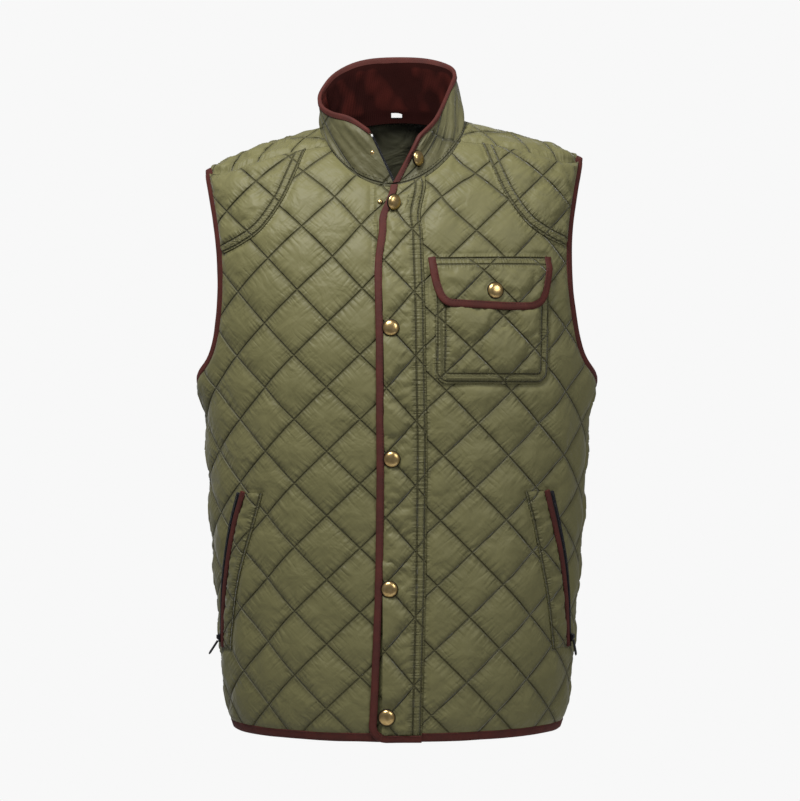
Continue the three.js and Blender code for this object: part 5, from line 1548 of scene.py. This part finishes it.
def lathed(name, profile, place, out, radius, height, material, sides=36):
    """A profile of shares of a radius and a height, turned round the direction out."""
    turn = np.linspace(0, 2 * math.pi, sides + 1)[:-1]
    side = unit(np.cross(out, (0, 0, 1)))
    up = unit(np.cross(side, out))
    points = [place + out * profile[0][1] * height]
    for share, level in profile[1:-1]:
        points += [place + (side * math.cos(t) + up * math.sin(t)) * share * radius
                   + out * level * height for t in turn]
    points.append(place + out * profile[-1][1] * height)
    faces = []
    rings = len(profile) - 2
    for k in range(sides):
        m = (k + 1) % sides
        faces.append([0, 1 + m, 1 + k])
        for ring in range(rings - 1):
            a, b = 1 + ring * sides, 1 + (ring + 1) * sides
            faces.append([a + k, a + m, b + m, b + k])
        last = 1 + (rings - 1) * sides
        faces.append([last + k, last + m, len(points) - 1])
    piece = new_mesh(name, points, faces, material)
    face_out(piece)
    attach(piece, "vest")
    return piece


def studded(cad_node, place, out, radius, height, tilt=(0, 0, 0), lift=0):
    """A cap on its dark ring, tilted where the cloth under it curls."""
    place, out = place + out * lift, unit(out + np.array(tilt, float))
    cap = lathed("cap_" + cad_node, CAP, place, out, radius, height, BRASS)
    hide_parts(cad_node)
    lathed("ring_" + cad_node, SOCKET, place, out, radius, min(height, 3.6), SHADOW_RING_BRASS)


def on_cloth(face, p, q, height):
    """A place over the cloth and the direction out of it."""
    return cloth_at(face, [(p, q)], [height])[0], outward(face, float(p), float(q))


for k, (p, q, seat) in enumerate(SNAPS):
    place, out = on_cloth("left", p, q, PLACKET_TOP + seat)
    tilt, lift = ((0.75, 0, -0.5), 3) if k == 0 else ((0, 0, 0), 0)
    studded(f"snap_front_{k + 1}", place, out, SNAP_RADIUS, SNAP_HEIGHT, tilt, lift)
studded("snap_flap", *on_cloth("left", *FLAP_SNAP, FLAP_TOP), SNAP_RADIUS, SNAP_HEIGHT)
studded("stud_front", *on_cloth("right", -5, 208, WALL + 0.5), STUD_RADIUS, STUD_HEIGHT)
for name, s_at, v_at, seat, radius, height, tilt in (
    ("snap_collar", 0.966, 0.4, 4.5, SNAP_RADIUS, SNAP_HEIGHT, (0.95, 0, -0.1)),
    ("stud_collar", 0.02, 0.5, 1.0, STUD_RADIUS, STUD_HEIGHT, (0, 0, 0)),
):
    place = collar_at(s_at, v_at, COLLAR_OUT + seat)
    out = unit(collar_at(s_at, v_at, 1) - collar_at(s_at, v_at, 0))
    studded(name, place, out, radius, height, tilt)


# Neck label. A small blank label that hangs from the collar's seam at the nape. It is woven
# white satin, folded and sewn in by its upper end, and shines a little more than the cloth.
SATIN = plain("white satin", "E6E6E4", 0.45, 0.4)
label = dressed("neck_label", SATIN, round_off=0.0001)


# Studio. A pale floor well below the vest and an even pale ground behind it. Soft lights stand
# high ahead of one shoulder, ahead on the other side and behind, and the camera looks at the front.
FLOOR_Z = -1300
FLOOR_HALF = 1400
floor = new_mesh("floor", [(x * FLOOR_HALF, y * FLOOR_HALF, FLOOR_Z)
                           for x, y in ((-1, -1), (1, -1), (1, 1), (-1, 1))],
                 [[0, 1, 2, 3]], plain("pale floor", "E9E9E7", 0.9, 0.2))

world = bpy.data.worlds.new("studio")
bpy.context.scene.world = world
world.use_nodes = True
shown = world.node_tree.nodes["Background"]
shown.inputs["Color"].default_value = srgb("F8F8F8")
dim = node(world.node_tree, "ShaderNodeBackground", {"Color": "F4F6FF"}, Strength=0.2)
seen = node(world.node_tree, "ShaderNodeLightPath").outputs["Is Camera Ray"]
both = node(world.node_tree, "ShaderNodeMixShader", {0: seen, 1: dim, 2: shown})
feed(world.node_tree, world.node_tree.nodes["World Output"], {"Surface": both})
bpy.context.scene.view_settings.view_transform = "Standard"


def soft_light(name, place, aim, size, power):
    lamp = bpy.data.lights.new(name, "AREA")
    lamp.energy = power
    lamp.size = size
    piece = bpy.data.objects.new(name, lamp)
    piece.location = place
    piece.rotation_euler = (Vector(aim) - Vector(place)).to_track_quat("-Z", "Y").to_euler()
    bpy.context.scene.collection.objects.link(piece)


soft_light("key", (-0.45, -0.86, 1.02), (0, 0, -0.2), 0.45, 28)
soft_light("fill", (1.5, -1.7, 0.8), (0, 0, -0.2), 1.0, 20)
soft_light("back", (0.5, 2.0, 0.5), (0, 0, -0.3), 1.4, 10)

camera = bpy.data.cameras.new("camera")
camera.lens = 99.15
camera.sensor_width = 36
view = bpy.data.objects.new("camera", camera)
view.location = (0.007, -2.6, -0.322)
view.rotation_euler = (math.pi / 2, 0, 0)
bpy.context.scene.collection.objects.link(view)
bpy.context.scene.camera = view
